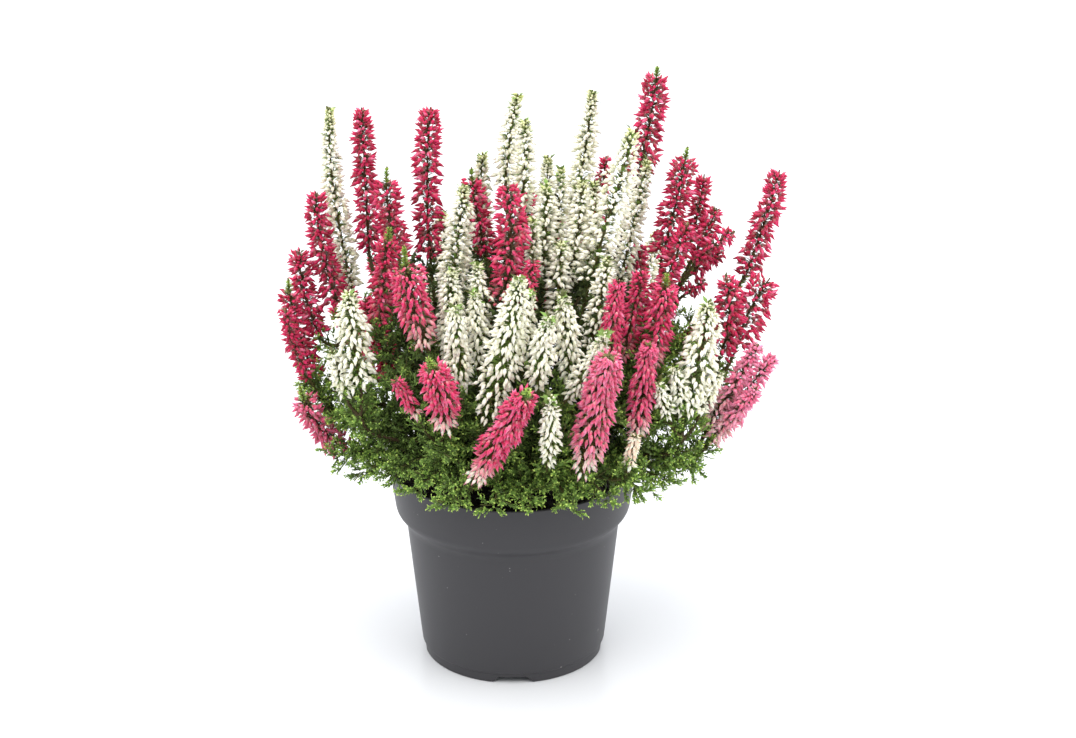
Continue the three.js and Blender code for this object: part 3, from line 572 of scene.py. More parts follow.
def tinted(name, roughness, spread, scale, gloss=0.3, glow=None):
    """A plant surface: the attribute tint, made a little lighter and darker by a noise."""
    material, tree, body = shader(name)
    paint = tree.nodes.new("ShaderNodeVertexColor")
    paint.layer_name = "tint"
    place = grain(tree, body, scale, 0.0001, 0.35)
    vary = tree.nodes.new("ShaderNodeTexNoise")
    vary.inputs["Scale"].default_value = scale / 3
    tree.links.new(place.outputs["Object"], vary.inputs["Vector"])
    reach = tree.nodes.new("ShaderNodeMapRange")
    reach.inputs["To Min"].default_value = 1 - spread
    reach.inputs["To Max"].default_value = 1 + spread
    tree.links.new(vary.outputs["Fac"], reach.inputs["Value"])
    shade = tree.nodes.new("ShaderNodeVectorMath")
    shade.operation = "SCALE"
    tree.links.new(paint.outputs["Color"], shade.inputs[0])
    tree.links.new(reach.outputs["Result"], shade.inputs["Scale"])
    tree.links.new(shade.outputs["Vector"], body.inputs["Base Color"])
    body.inputs["Roughness"].default_value = roughness
    body.inputs["Specular IOR Level"].default_value = gloss
    if glow:
        body.inputs["Subsurface Weight"].default_value = 0.35
        body.inputs["Subsurface Radius"].default_value = glow
        body.inputs["Subsurface Scale"].default_value = MM
    return material


def pot_plastic():
    """Dark grey moulded plastic, matt, with a fine grain and a few specks of dust."""
    material, tree, body = shader("pot plastic")
    place = grain(tree, body, 2600, 0.00006, 0.25)
    dust = tree.nodes.new("ShaderNodeTexNoise")
    dust.inputs["Scale"].default_value = 420
    dust.inputs["Detail"].default_value = 1
    tree.links.new(place.outputs["Object"], dust.inputs["Vector"])
    ramp = tree.nodes.new("ShaderNodeValToRGB")
    for element, at, tint in zip(ramp.color_ramp.elements, (0.79, 0.84), (PLASTIC, DUST)):
        element.position = at
        element.color = (*tint, 1)
    tree.links.new(dust.outputs["Fac"], ramp.inputs["Fac"])
    tree.links.new(ramp.outputs["Color"], body.inputs["Base Color"])
    body.inputs["Roughness"].default_value = 0.46
    body.inputs["Specular IOR Level"].default_value = 0.42
    return material


MATERIALS = {
    "pot": pot_plastic(),
    "soil": tinted("peat", 0.95, 0.5, 900),
    "bark": tinted("bark", 0.8, 0.3, 1500),
    "leaf": tinted("heather leaves", 0.5, 0.25, 700),
    "pink": tinted("pink sepals", 0.45, 0.12, 1500, gloss=0.2, glow=(1.6, 0.4, 0.6)),
    "pale": tinted("pale sepals", 0.45, 0.12, 1500, gloss=0.2, glow=(1.6, 0.7, 0.9)),
    "white": tinted("white sepals", 0.45, 0.05, 1500, glow=(1.6, 1.5, 1.2)),
}


# ----- racemes -----

def bud_tints(hue, high, front, paleness, corners, rng):
    """Colours of buds: rows for buds, columns for their corners. Green or cream at the root, then
    the sepal's own colour, with a painted highlight along its edges and at its point; painted
    light makes pink racemes at the front a lighter rose; the lowest buds in front and the
    lower half of pale racemes are creamier."""
    place = np.concatenate(
        [[0.0], np.repeat([place for place, _ in BUD_RINGS], corners), [1.0]])[None]
    # where the painted highlight falls: every second corner, a sepal's edge, and a little at the
    # point
    sepal_edge_highlight = np.concatenate(
        [[0.0], np.tile(np.arange(corners) % 2, len(BUD_RINGS)), [0.3]])[None]
    vary = rng.random(len(high))[:, None]
    if hue == "white":
        base = blend(BUD_GREEN, CREAM, smooth(-0.1, 0.15, place + 0 * vary))
        topmost = (0.75 - 0.4 * front) * smooth(0.84, 1.0, high)[:, None]
        a_few = 0.35 * vary ** 8
        green = (topmost + a_few) * (1.1 - 0.5 * place)
        return blend(base, BUD_GREEN * 0.85, np.clip(green, 0, 1))
    # painted light: pink racemes at the front get a lighter rose body than those further back
    body, edge = {
        "pink": (blend(CRIMSON, ROSE, vary + 0.42 * front - 0.05), BLUSH_AND_HIGHLIGHT),
        "pale": (blend(ROSE, BLUSH_AND_HIGHLIGHT, 0.32 + 0.5 * vary), BLUSH_AND_HIGHLIGHT),
        "peach": (blend(PEACH, CREAM, 0.2 + 0.6 * vary), CREAM),
    }[hue]
    # painted highlight: the sepals' edges are lightened, more so towards the point
    base = blend(body + 0 * place[..., None], edge, 0.25 * sepal_edge_highlight * place + 0 * vary)
    # a few buds at random are paler towards their points; buds at the front get painted light
    # towards their points; paleness is the own paler colour of some racemes
    pale = smooth(0.86, 1.0, vary) * 0.8 * place + 0.4 * front * smooth(0.4, 1.0, place)
    pale = pale + paleness * (0.2 + 0.5 * place + 0.5 * sepal_edge_highlight * place)
    base = blend(base, edge, np.clip(pale, 0, 1))
    root = 0.6 * (1 - smooth(0.0, 0.25, place + 0 * vary))
    base = blend(base, CREAM * 0.8, root)
    young = (1 - smooth(0.03, 0.3, high)) * front
    if hue == "pale":
        young = np.maximum(young, 0.7 * (1 - smooth(0.0, 0.6, high)))
    return blend(base, CREAM, young[:, None] * (1 - smooth(0.3, 0.8, place)))


def grow_raceme(axis, kind, hue, pale, tuft, buds, greens, rng):
    """Buds in pairs in a spiral round an axis. The tip of a bud stands at the raceme's reach and
    its root a bud's length behind, on a stalk from the axis. Each pair has a small leaf."""
    path, length, make = axis["path"], axis["length"], KINDS[kind]
    front = smooth(*FRONT, path[:, 1].mean())
    reach = axis["reach"] * (make["fuller"] + (FRONT_FULLER - make["fuller"]) * front)
    top = 1 - tuft / length
    pairs = int(make["pairs"] * length * top * np.clip(reach / USUAL_REACH, *PAIRS_BY_REACH)
                * (1 + make["more"] * front))
    count = 2 * pairs

    pair = np.repeat(np.arange(pairs), 2)
    even = ((pair + rng.random(count)) / pairs) ** (1 - FRONT_CROWDING * front)
    high = (1 - (1 - even) ** BUD_CROWDING) * top
    around = pair * GOLDEN + np.tile([-1.0, 1.0], pairs) * rng.uniform(*PAIR_OPENING, count)
    size = (1 - make["tip"] * smooth(0.6, 1.0, high / top)) * rng.uniform(*BUD_VARIETY, count)
    size *= np.clip(reach / USUAL_REACH, *SIZE_BY_REACH)
    bud_length, bud_width = make["size"]
    long = bud_length * size * (1 - FRONT_SHORTER * front)
    wide = bud_width * size ** 0.7 * (1 - FRONT_NARROWER * front)

    _, along = sampled(path, high)
    out, _ = across(along, around)
    out = out + FRONT_SIDE * front
    out = unit(out - along * (out * along).sum(1, keepdims=True))
    tall, leaning = (np.interp(high / top, BUD_LIFT_PLACES, lifts)[:, None]
                     for lifts in (BUD_LIFT_TALL, BUD_LIFT_FRONT))
    lift = blend(tall, leaning, front)
    lift -= FRONT_NODDING[0] * front * smooth(0.2, 1.0, -out[:, 1:2])
    way = out + along * (lift + rng.normal(0, LIFT_VARIETY, (count, 1)))
    way[:, 2] -= NODDING + FRONT_NODDING[1] * front
    way = unit(way + rng.normal(0, BUD_SHAKE + FRONT_SHAKE * front, (count, 3)))
    rise = (way * along).sum(1)
    flat = np.sqrt(1 - rise ** 2)

    closing, power = make["closing"]
    wave = high * length / 3.5 + rng.random() * PHASE
    lumps = np.sin(wave + np.sin(around + rng.random() * PHASE) * 1.5)
    spread = reach * (1 - closing * high ** power) * (1.04 + 0.08 * lumps)
    slimmer, slim_end = FRONT_SLIM_FOOT
    foot_share = slimmer * front * (1 - smooth(0, slim_end, high))
    spread *= (1 - 0.3 * rng.random(count) ** 1.5) * (1 - foot_share)
    start = np.maximum(spread - long * flat, LEAST_STALK)
    centre, _ = sampled(path, high - long * rise / length)
    root = centre + out * start[:, None]
    corners = BUD_CORNERS[int(front > 0.5)]
    fold = SEPAL_FOLD if corners > 4 else 0.0
    bodies = spindles(root, way, rng.random(count) * np.pi, long, wide, BUD_RINGS, corners, fold)
    buds.add(bodies, spindle_faces(len(BUD_RINGS), corners),
             bud_tints(hue, high, front, pale, corners, rng))

    leafy = make["leafy"]
    green, stem = ((LEAF_GREEN, blend(OLIVE, BARK, 0.5)) if kind == "white"
                   else (OLIVE, DARK_STEM))
    rings = path[None, ::STEM_STEP]
    add_tubes(greens, rings, np.linspace(*STEM_RADII, rings.shape[1]), STEM_SIDES, stem)
    foot = centre - along * (0.3 * start)[:, None]
    stalk = root + way * (0.12 * long)[:, None] - foot
    add_leaves(greens, foot, unit(stalk), along, np.linalg.norm(stalk, axis=1), STALK_WIDTH,
               blend(green, stem, 0.7 * rng.random(count)))
    centre, along, around = centre[::2], along[::2], around[::2]
    leaf_out, _ = across(along, around + rng.normal(0, 0.7, pairs))
    leaf_way = unit(leaf_out + along * rng.uniform(0, 1.2, (pairs, 1)))
    leaf_lengths, leaf_width = SMALL_LEAF
    add_leaves(greens, centre + leaf_out * 0.5, leaf_way, along,
               rng.uniform(*leaf_lengths, pairs) * leafy, leaf_width * leafy,
               blend(OLIVE * 0.5, green, rng.random(pairs)))
    if tuft:
        grow_tuft(path, top, length, greens, rng)


def grow_tuft(path, top, length, greens, rng):
    """Young leaves round the top of an axis in a spiral, spread wide low down and closed above."""
    count = int(TUFT_LEAVES * (1 - top) * length)
    share = top - 2 / length + (1 - top + 0.5 / length) * np.sort(rng.random(count))
    centre, along = sampled(path, share)
    out, _ = across(along, np.arange(count) * GOLDEN)
    inner = np.clip((share - top) / (1 - top), 0, 1)
    way = unit(out * (2.2 - 1.6 * inner)[:, None] + along + rng.normal(0, 0.15, (count, 3)))
    long, shorter, width = TUFT_LEAF
    add_leaves(greens, centre, way, along, long - shorter * inner, width,
               blend(LEAF_GREEN, LEAF_YOUNG, rng.uniform(-0.3, 0.7, count) + 0.3 * inner))


def upwards(middle):
    """Racemes climb, wherever their middle is."""
    return UP


def outwards(middle):
    """Leafy sprays leave the middle of the pot."""
    return middle - UP * SPRAY_SOURCE_Z


racemes = {}
for number, node in enumerate(sorted(name for name in frame["nodes"] if "raceme" in name)):
    axes, bare = read_axes(node, upwards)
    axes.sort(key=lambda axis: -axis["path"][-1, 2])
    racemes[node] = (axes, bare)
    kind = node.split("_")[0]
    hue = "peach" if node in PEACHY else kind
    rng = np.random.default_rng(100 + number)
    buds, greens = Growth(), Growth()
    for rank, axis in enumerate(axes):
        tuft = TUFTED.get(node, 0) if rank == 0 else 0
        grow_raceme(axis, kind, hue, PALER.get(node, 0), tuft, buds, greens, rng)
    piece = filled(node + ".buds", buds, MATERIALS[kind])
    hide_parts(node)
    piece = filled(node + ".greens", greens, MATERIALS["leaf"], smooth_faces=False)


# ----- stems -----

TRUNK_ANGLES = np.radians(SECTOR_TURN + 360 * (np.arange(SECTORS) + 0.5) / SECTORS)
TRUNKS = TRUNK_PLACE * np.stack([np.cos(TRUNK_ANGLES), np.sin(TRUNK_ANGLES)], axis=1)


def sector_of(point):
    """The sixth of the plant that a point is in."""
    degrees = np.degrees(np.arctan2(point[1], point[0])) - SECTOR_TURN
    return int(((degrees + 720) % 360) // (360 / SECTORS))


def twig_path(sector, end, direction):
    """A twig from its trunk to an end: a cubic curve that leaves at a slope and arrives in the
    direction of what it carries."""
    climb = (end[2] - LOWEST_TWIG) / (HIGHEST_END - LOWEST_TWIG)
    root = np.array([*TRUNKS[sector], LOWEST_TWIG + (TRUNK_ENDS[1] - 2 - LOWEST_TWIG) * climb])
    slope = np.radians(TWIG_START)
    level = unit(end[:2] - root[:2])
    bow = TWIG_BOW * np.linalg.norm(end - root)
    rise = root + bow * np.array([*(level * np.cos(slope)), np.sin(slope)])
    arrive = end - direction * min(TWIG_END, bow)
    t = np.linspace(0, 1, TWIG_POINTS)[:, None]
    return (root * (1 - t) ** 3 + 3 * rise * t * (1 - t) ** 2
            + 3 * arrive * t ** 2 * (1 - t) + end * t ** 3)


def fork_of(axes, bare):
    """Where the arms of a fork meet, at the lowest bare corners along the mean direction, and
    that direction."""
    lean = unit(sum(unit(axis["path"][2] - axis["path"][0]) for axis in axes))
    if len(axes) == 1 or len(bare) == 0:
        return axes[0]["path"][0], lean
    run = bare @ lean
    return bare[run < run.min() + 1.5].mean(0), lean


def grow_plumes(roots, ways, lengths, glow, make, leaves, rng):
    """Feathery plumes. A plume's axis bows up: root + way * length * t + up * rise * t * t. Side
    shoots leave it in a spiral, longest at a third of it, and small leaves in a spiral round each
    shoot point forwards. glow, from 0 to 1, is how young and light a plume is: partly young
    leaves, partly painted light and painted shade."""
    count = len(roots)
    if count == 0:
        return
    shoots, pitch, leaf_length, width = make
    share = (np.arange(shoots)[:, None] + 0.5) / shoots
    run = (ways * lengths[:, None])[:, None]
    rise = np.array([0.0, 0.0, PLUME_RISE]) * lengths[:, None, None]
    spot = roots[:, None] + run * share + rise * share ** 2
    along = unit(run + 2 * rise * share)
    out, _ = across(along, np.arange(shoots) * GOLDEN + TURN * rng.random((count, 1)))
    outwards_part, onwards_part = SHOOT_WAY
    shoot = unit(out * outwards_part * (1 - smooth(0.8, 1.0, share)) + along * onwards_part
                 + rng.normal(0, 0.07, out.shape))
    share = share[:, 0]
    long = SHOOT_LENGTH * lengths[:, None] * (1 - share) ** 0.8 * np.minimum(1, 0.5 + 1.5 * share)
    long = (long + 0.8) * rng.uniform(0.8, 1.2, long.shape)
    # light carries glow, with its painted light and shade, into the colours of the shoots and
    # leaves
    light = np.clip(glow[:, None] * (0.35 + 0.75 * share) + rng.normal(0, 0.08, long.shape), 0, 1)

    add_leaves(leaves, roots, unit(run[:, 0] + 0.7 * rise[:, 0]), UP, lengths, PLUME_WIDTH,
               blend(OLD_LEAF_AND_SHADE, BARK, 0.5 * glow))
    spots, forth, longs = spot.reshape(-1, 3), shoot.reshape(-1, 3), long.ravel()
    lights = light.ravel()
    add_leaves(leaves, spots, forth, along.reshape(-1, 3), longs, SHOOT_WIDTH if pitch else width,
               blend(OLD_LEAF_AND_SHADE, LEAF_GREEN, np.minimum(1, lights * (1.1 if pitch else 0.5))))
    if not pitch:
        return

    run = np.arange(int(np.ceil(longs.max() / pitch))) * pitch
    turn = np.arange(len(run)) * GOLDEN + TURN * rng.random((len(spots), 1))
    there = run < longs[:, None]
    leaf_spot = spots[:, None] + forth[:, None] * run[:, None]
    forth = np.broadcast_to(forth[:, None], leaf_spot.shape)
    leaf_out, _ = across(forth, turn)
    end = run / longs[:, None]
    green = np.clip(lights[:, None] * (0.8 + 1.1 * end), 0, 1)
    # lighter, younger leaves towards a shoot's end, stronger where light holds painted light
    young = lights[:, None] * (0.1 + 1.3 * end) - 0.3 + rng.normal(0, 0.12, end.shape)
    tint = blend(blend(OLD_LEAF_AND_SHADE, LEAF_GREEN, green), LEAF_YOUNG, np.clip(young, 0, 1))
    size = leaf_length * rng.uniform(0.8, 1.15, end.shape) * (1 - 0.25 * end)
    leaf_spot, forth, leaf_out = leaf_spot[there], forth[there], leaf_out[there]
    size, tint = size[there], tint[there]
    if width:
        leaf_way = unit(leaf_out * LEAF_WAY[0] + forth * LEAF_WAY[1])
        add_leaves(leaves, leaf_spot, leaf_way, forth, size, width, tint)
    else:
        add_leaf_pairs(leaves, leaf_spot, forth, leaf_out, size, tint)


def clear_of_pot(roots, ways, lengths):
    """Whether a sprig keeps off the pot's rim and wall and stays in the plant's room. A wave
    leaves gaps in the lowest sprigs at the front."""
    tip = roots + ways * lengths[:, None]
    low, high = (np.array(corner) / MM for corner in cad_bounds)
    edge = np.hypot(tip[:, 0] / LEAFY_REACH[0], tip[:, 1] / LEAFY_REACH[1])
    good = tip[:, 2] < LEAFY_TOP[0] - LEAFY_TOP[1] * edge ** 2
    wave = np.sin(tip[:, 0] / 4.5 + 1) + 0.6 * np.sin(tip[:, 1] / 5 + tip[:, 0] / 11)
    good &= (wave > -1.1) | (tip[:, 1] > -55) | (tip[:, 2] > 116)
    for share in (0.0, 0.35, 0.7, 1.1):
        spot = roots + ways * (lengths * share)[:, None]
        radius = np.hypot(spot[:, 0], spot[:, 1])
        low_spot = spot[:, 2] < POT_HEIGHT + OFF_RIM
        past_soil = radius > RIM_RADIUS - OVER_RIM
        good &= ~(low_spot & past_soil & (radius < RIM_RADIUS + OFF_RIM))
        good &= spot[:, 2] > np.where(past_soil, POT_HEIGHT + OFF_RIM, SOIL_TOP + 1)
    return good & (tip > low + 2).all(1) & (tip < high - 2).all(1)


def grow_foliage(roots, ways, lengths, leaves, rng):
    """Plumes that keep off the pot: the finer the nearer they are to the outside. They are
    lighter outside, low in front, at the flanks and in tufts: painted shade darkens them deep
    inside the plant, together with older leaves there, and painted light lightens the flanks."""
    tone = rng.normal(0, 0.1)
    keep = clear_of_pot(roots, ways, lengths)
    roots, ways, lengths = roots[keep], ways[keep], lengths[keep]
    middle = roots + ways * (0.5 * lengths)[:, None]
    x, y, z = middle.T
    depth = np.hypot(x / LEAFY_REACH[0], y / LEAFY_REACH[1])
    depth += 0.25 * smooth(125, 100, z)
    low_front = smooth(-35, -75, y) * smooth(140, 105, z)
    tufts = np.sin(x / 5.5) * np.sin(y / 6 + 1) * np.sin(z / 6 + 2)
    # glow paints light and shade into the leaves' colour: darker deep inside and low down, where
    # shade falls and older leaves are
    glow = 0.12 + smooth(0.4, 1.0, depth) * 0.65 + 0.5 * low_front + rng.normal(0, 0.08, len(roots))
    glow += (0.45 * tufts + tone) * smooth(0.6, 0.9, depth)
    # painted light: the flanks are lightened against the shade that falls on them
    glow += 0.27 * smooth(48, 75, np.abs(x))
    glow = np.clip(glow, 0, 1)
    for low, high, make in PLUMES:
        some = (depth >= low) & (depth < high)
        grow_plumes(roots[some], ways[some], lengths[some], glow[some], make, leaves, rng)


def along_twig(path, start, spacing, rng):
    """Roots and directions of sprigs round a twig, from a share of it on, and their shares."""
    count = max(1, int((1 - start) * path_length(path) / spacing))
    share = start + (1 - start) * (np.arange(count) + rng.random(count)) / count
    spot, along = sampled(path, share)
    out, _ = across(along, np.arange(count) * GOLDEN + rng.random() * PHASE)
    return spot, unit(out * rng.uniform(0.6, 1.0, count)[:, None] + along * 0.75), share


def dress(path, plumes, leaves, rng):
    """Foliage along a twig, spray or side shoot."""
    start, spacing, lengths, shorter = plumes
    spot, way, share = along_twig(path, start, spacing, rng)
    long = rng.uniform(*lengths, len(spot)) * (1 - shorter * share)
    grow_foliage(spot, way, long, leaves, rng)


def branchlets(path, start, spacing, rng):
    """Short side shoots of a twig that bow up, as paths."""
    spot, way, share = along_twig(path, start, spacing, rng)
    lengths, shorter, bow = SIDE_SHOOT
    long = rng.uniform(*lengths, len(spot)) * (1 - shorter * share)
    keep = clear_of_pot(spot, way, long) & (spot[:, 2] + way[:, 2] * long > POT_HEIGHT + 4)
    return bowed(spot[keep], way[keep], long[keep], bow)


def basal_sprigs(sector, rng):
    """Leafy sprigs that leave a trunk low down and rise outwards, as paths."""
    count = BASAL_SPRIGS[sector]
    turn = TRUNK_ANGLES[sector] + rng.uniform(-BASAL_FAN, BASAL_FAN, count)
    foot = above(TRUNKS[sector], rng.uniform(*BASAL_FEET, count))
    slope = rng.uniform(*BASAL_SLOPE, count)
    way = unit(np.stack([np.cos(turn), np.sin(turn), slope], axis=1))
    lengths, bow = BASAL_SPRIG
    return bowed(foot, way, rng.uniform(*lengths, count), bow)


stems = {sector: [] for sector in range(SECTORS)}
for axes, bare in racemes.values():
    fork, lean = fork_of(axes, bare)
    sector = sector_of(fork)
    stems[sector].append(twig_path(sector, fork, lean))
    if len(axes) > 1:
        for axis in axes:
            foot, onwards = axis["path"][0], unit(axis["path"][2] - axis["path"][0])
            bend = foot - onwards * 0.5 * np.linalg.norm(foot - fork)
            t = np.linspace(0, 1, TWIG_POINTS)[:, None]
            stems[sector].append(parabola(fork, bend, foot, t))

for sector in range(SECTORS):
    node = f"stem_{sector + 1}"
    rng = np.random.default_rng(500 + sector)
    wood, leaves = Growth(), Growth()
    trunk = above(TRUNKS[sector], np.linspace(*TRUNK_ENDS, TRUNK_RINGS))
    add_tubes(wood, trunk[None], np.linspace(*TRUNK_RADII, TRUNK_RINGS), TRUNK_SIDES, BARK)
    sprays, _ = read_axes(node, outwards)
    twigs = list(stems[sector])
    sprays = [spray["path"] for spray in sprays if spray["length"] > LEAST_SPRAY]
    for spray in sprays:
        twigs.append(twig_path(sector, spray[0], unit(spray[3] - spray[0])))
    for twig in twigs:
        rings = twig[None, ::TWIG_STEP]
        slimmer = ARM_SLIMMER if np.linalg.norm(twig[0] - twig[-1]) < ARM_LENGTH else 1
        add_tubes(wood, rings, np.linspace(*TWIG_RADII, rings.shape[1]) * slimmer, TWIG_SIDES,
                  blend(OLIVE * 0.6, BARK * 0.75, rng.random()))
        dress(twig, TWIG_PLUMES, leaves, rng)
        spot, way, _ = along_twig(twig, *TWIG_LEAVES, rng)
        leaf_lengths, leaf_width = TWIG_LEAF
        add_leaves(leaves, spot, way, unit(np.cross(way, (0.3, 0.2, 1.0))),
                   rng.uniform(*leaf_lengths, len(spot)), leaf_width,
                   blend(OLIVE * 0.5, LEAF_GREEN, rng.random(len(spot))))
    for spray in sprays:
        rings = spray[None, :SPRAY_CUT:SPRAY_STEP]
        add_tubes(wood, rings, np.linspace(*SPRAY_RADII, rings.shape[1]), SPRAY_SIDES,
                  blend(OLIVE, BARK, 0.3) * 0.8)
        dress(spray, SPRAY_PLUMES, leaves, rng)
    twig_shoots = TWIG_SHOOTS_LAST if sector == SECTORS - 1 else TWIG_SHOOTS
    side_shoots = [branchlets(twig, *twig_shoots, rng) for twig in twigs]
    side_shoots += [branchlets(spray, *SPRAY_SHOOTS, rng) for spray in sprays]
    side_shoots.append(basal_sprigs(sector, rng))
    for paths in side_shoots:
        if len(paths) == 0:
            continue
        rings = paths[:, ::2]
        add_tubes(wood, rings, np.linspace(*SHOOT_RADII, rings.shape[1]), SHOOT_SIDES,
                  blend(OLIVE, OLD_LEAF_AND_SHADE, 0.4))
        for path in paths:
            dress(path, SHOOT_PLUMES, leaves, rng)
    piece = filled(node + ".wood", wood, MATERIALS["bark"])
    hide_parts(node)
    piece = filled(node + ".leaves", leaves, MATERIALS["leaf"], smooth_faces=False)


# ----- pot -----

# The wall's section from the axis under the floor, up the outside and down the inside: radius,
# height and how far its corner is rounded.
POT_PROFILE = [
    (0, 0, 0), (CHANNEL_START, 0, 0), (CHANNEL_START + 1, 0, 0), (BASE_RADIUS - 8, 0, 0),
    (BASE_RADIUS, 0, 0.8),
    (BASE_RADIUS + SKIRT_STEP / 2, SKIRT_Z, 0.4),
    (BODY_FOOT_RADIUS + SKIRT_STEP, SKIRT_Z + SKIRT_STEP, 0.6),
    (BODY_TOP[0], BODY_TOP[1], 3.0),
    (COLLAR_FOOT[0] - 0.2, COLLAR_FOOT[1] - 0.4, 2.4),
    (RIM_RADIUS, POT_HEIGHT - 0.4, 0.3),
    (RIM_RADIUS - 0.4, POT_HEIGHT, 0.3),
    (RIM_RADIUS - WALL + 0.3, POT_HEIGHT, 0.3),
    (RIM_RADIUS - WALL, POT_HEIGHT - 0.5, 0.3),
    (COLLAR_FOOT[0] - WALL, COLLAR_FOOT[1], 2.0),
    (BODY_TOP[0] - WALL, BODY_TOP[1], 2.0),
    (BODY_FOOT_RADIUS - WALL, FLOOR, 1.0),
    (0, FLOOR, 0),
]


def rounded(profile, steps=4):
    """A profile whose inner corners are rounded: each becomes a short parabola."""
    points = np.array([row[:2] for row in profile], float)
    out = [points[0]]
    for i in range(1, len(points) - 1):
        before, corner, after = points[i - 1], points[i], points[i + 1]
        back, on = np.linalg.norm(before - corner), np.linalg.norm(after - corner)
        cut = min(profile[i][2], 0.45 * back, 0.45 * on)
        first = corner + (before - corner) / back * cut
        last = corner + (after - corner) / on * cut
        out.extend(parabola(first, corner, last, np.linspace(0, 1, steps)[:, None]))
    out.append(points[-1])
    return np.array(out)


def channelled(corners):
    """Raises the low part of the pot in four strips, which leaves a channel under the floor and a
    notch in the foot. What a strip rises by fades to nothing at its sides and up the skirt."""
    x, y, z = corners.T
    along, aside = np.maximum(np.abs(x), np.abs(y)), np.minimum(np.abs(x), np.abs(y))
    foot, top = np.array(CHANNEL_WIDTHS) / 2
    height = CHANNEL_HEIGHT * np.clip((foot - aside) / (foot - top), 0, 1)
    height *= np.clip(along - CHANNEL_START, 0, 1)
    raised = height + z * (1 - height / SKIRT_Z)
    return np.stack([x, y, np.where(z < SKIRT_Z, raised, z)], axis=1)


def pot_angles(sides):
    """Even angles round the pot, save that the nearest ones move to the edges of the channels."""
    degrees = 360 * np.arange(sides) / sides
    quarter = (degrees + 45) % 90 - 45
    for width in CHANNEL_WIDTHS:
        edge = np.degrees(np.arcsin(width / 2 / BASE_RADIUS))
        near = np.abs(np.abs(quarter) - edge) <= 180 / sides
        degrees = np.where(near, degrees - quarter + np.sign(quarter) * edge, degrees)
    return np.radians(degrees)


def turned(profile, angle):
    """Corners of a profile of radius and height turned about the upright axis, and triangles."""
    rings = [ring(radius, height, angle) for radius, height in profile[1:-1]]
    ends = [[[0.0, 0.0, height]] for height in (profile[0, 1], profile[-1, 1])]
    return np.concatenate([ends[0], *rings, ends[1]]), spindle_faces(len(rings), len(angle))


def drilled(piece, places, radius, depth):
    """Round holes straight up through a piece, cut with closed pins that are then removed."""
    pins = Growth()
    angle = even_angles(DRAIN_SIDES)
    for x, y in places:
        low, high = (ring(radius, height, angle) + (x, y, 0) for height in (-1, depth))
        pin = np.concatenate([[[x, y, -1]], low, high, [[x, y, depth]]])
        pins.add(pin[None], spindle_faces(2, DRAIN_SIDES), np.ones(3))
    cutter = filled("drain pins", pins, piece.data.materials[0])
    cut = piece.modifiers.new("drains", "BOOLEAN")
    cut.operation, cut.solver, cut.object = "DIFFERENCE", "EXACT", cutter
    whole = piece.evaluated_get(bpy.context.evaluated_depsgraph_get())
    mesh = bpy.data.meshes.new_from_object(whole)
    piece.modifiers.clear()
    piece.data = mesh
    bpy.data.objects.remove(cutter)
    mesh.set_sharp_from_angle(angle=np.radians(SHARP_EDGE))


corners, faces = turned(rounded(POT_PROFILE), pot_angles(POT_SIDES))
growth = Growth()
growth.add(channelled(corners)[None], faces, np.ones(3))
pot = filled("pot.wall", growth, MATERIALS["pot"])
drilled(pot, [(DRAIN_PLACE * x, DRAIN_PLACE * y) for x, y in ((1, 0), (0, 1), (-1, 0), (0, -1))],
        DRAIN_RADIUS, 2 * FLOOR)
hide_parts("pot")


# ----- soil -----

# The soil's outside, from the pot's floor up: radius and height.
SOIL_WALL = (
    (BODY_FOOT_RADIUS - WALL - SOIL_GAP, FLOOR + SOIL_GAP),
    (BODY_TOP[0] - WALL - SOIL_GAP, BODY_TOP[1]),
    (COLLAR_FOOT[0] - WALL - 0.5, COLLAR_FOOT[1] + 1),
    (SOIL_RIM, SOIL_TOP - 1.5),
)


def soil_top(angle, rng):
    """A disk of crumbs, ring by ring: each corner rises to the dome of the highest of many
    scattered grains over it."""
    share = np.linspace(0, 1, SOIL_RINGS + 1)[1:]
    x = SOIL_RIM * share[:, None] * np.cos(angle)
    y = SOIL_RIM * share[:, None] * np.sin(angle)
    away = SOIL_RIM * np.sqrt(rng.random(GRAINS))
    turn = 2 * np.pi * rng.random(GRAINS)
    size = rng.uniform(*GRAIN_SIZES, GRAINS)
    grains = np.stack([away * np.cos(turn), away * np.sin(turn)], axis=1)
    flat = np.stack([x.ravel(), y.ravel()], axis=1)
    apart = np.linalg.norm(flat[:, None] - grains[None], axis=2)
    dome = np.sqrt(np.clip(size ** 2 - apart ** 2, 0, None)).max(1).reshape(x.shape)
    return np.stack([x, y, SOIL_TOP - CRUMB_DEPTH[0] + CRUMB_DEPTH[1] * dome], axis=2)


angle = even_angles(SOIL_SIDES)
rows = soil_top(angle, np.random.default_rng(3))
wall = [ring(radius, height, angle) for radius, height in SOIL_WALL]
corners = np.concatenate([[[0, 0, FLOOR + SOIL_GAP]], *wall, *rows[::-1], [[0, 0, SOIL_TOP]]])
growth = Growth()
growth.add(corners[None], spindle_faces(len(wall) + len(rows), SOIL_SIDES), WET_PEAT)
soil = filled("soil.crumbs", growth, MATERIALS["soil"], smooth_faces=False)
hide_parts("soil")


# ----- floor, light, camera -----

SOFTBOX_SPREAD = 60  # degrees
SOFTBOX_TINT = (1.0, 0.985, 0.96)


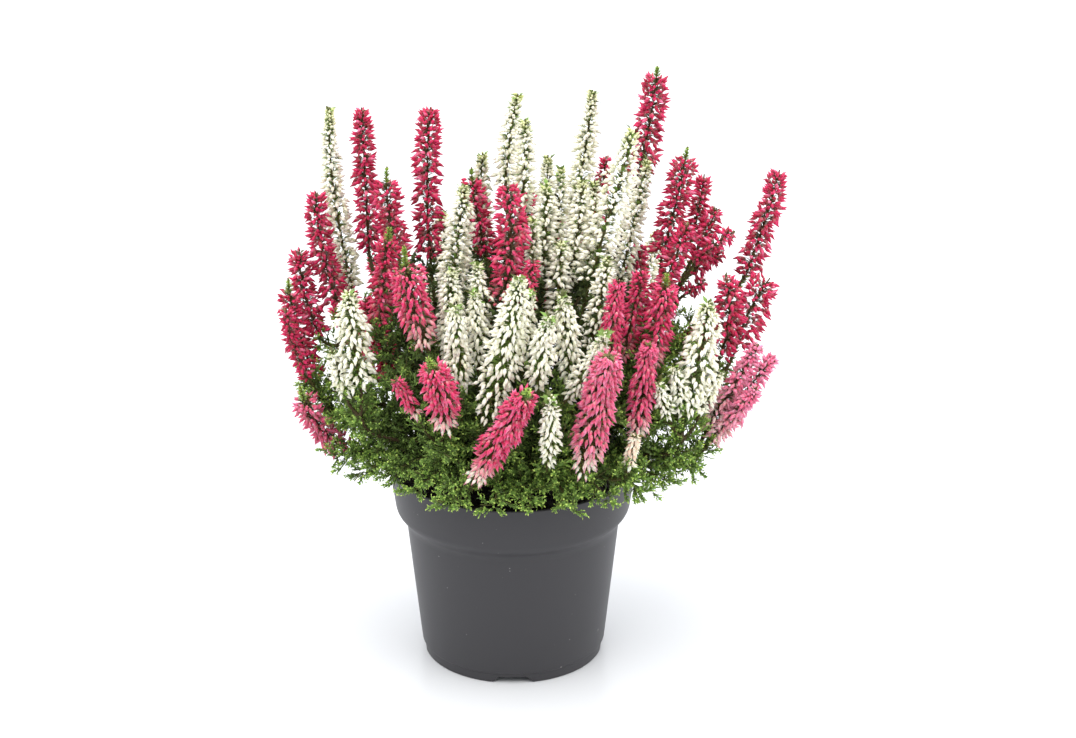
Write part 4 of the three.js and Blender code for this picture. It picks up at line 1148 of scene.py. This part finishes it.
def pale_floor():
    """A wide pale floor with a very soft reflection."""
    mesh = bpy.data.meshes.new("floor")
    half = 4.0
    mesh.from_pydata([(-half, -half, 0), (half, -half, 0), (half, half, 0), (-half, half, 0)], [],
                     [(0, 1, 2, 3)])
    material, _, body = shader("pale floor")
    body.inputs["Base Color"].default_value = (0.63, 0.639, 0.655, 1)
    body.inputs["Roughness"].default_value = 0.3
    body.inputs["Specular IOR Level"].default_value = 0.35
    mesh.materials.append(material)
    floor = bpy.data.objects.new("floor", mesh)
    bpy.context.scene.collection.objects.link(floor)


def soft_light(name, from_way, strength):
    """Even light from a wide patch of the room, centred on a direction."""
    lamp = bpy.data.lights.new(name, "SUN")
    lamp.angle = np.radians(SOFTBOX_SPREAD)
    lamp.energy = strength
    lamp.color = SOFTBOX_TINT
    holder = bpy.data.objects.new(name, lamp)
    bpy.context.scene.collection.objects.link(holder)
    away = unit(np.array(from_way, float))
    holder.rotation_euler = (np.arccos(away[2]), 0, np.arctan2(away[0], -away[1]))


def studio_room():
    """A pale room around the table, darker in front of the plant, which is where the pot's
    darker middle comes from."""
    world = bpy.data.worlds.new("studio")
    bpy.context.scene.world = world
    world.use_nodes = True
    tree = world.node_tree
    place = tree.nodes.new("ShaderNodeTexCoord")
    split = tree.nodes.new("ShaderNodeSeparateXYZ")
    reach = tree.nodes.new("ShaderNodeMapRange")
    ends = {"From Min": -0.9, "From Max": 0.3, "To Min": 0.68, "To Max": 1.66}
    for socket, value in ends.items():
        reach.inputs[socket].default_value = value
    tree.links.new(place.outputs["Generated"], split.inputs[0])
    tree.links.new(split.outputs["Y"], reach.inputs["Value"])
    tree.links.new(reach.outputs["Result"], tree.nodes["Background"].inputs["Strength"])
    tree.nodes["Background"].inputs["Color"].default_value = (0.95, 0.97, 1.0, 1)


pale_floor()
soft_light("high softbox", (-0.3, -0.35, 1.0), 2.5)
soft_light("right softbox", (0.8, -0.3, 0.8), 1.4)
studio_room()
bpy.context.scene.view_settings.view_transform = "Standard"

lens = bpy.data.cameras.new("camera")
lens.lens = 85
lens.sensor_width = 36
camera = bpy.data.objects.new("camera", lens)
bpy.context.scene.collection.objects.link(camera)
camera.location = (0.01226, -1.1359, 0.5917)
camera.rotation_euler = (np.radians(90 - 21.4), 0, 0)
bpy.context.scene.camera = camera
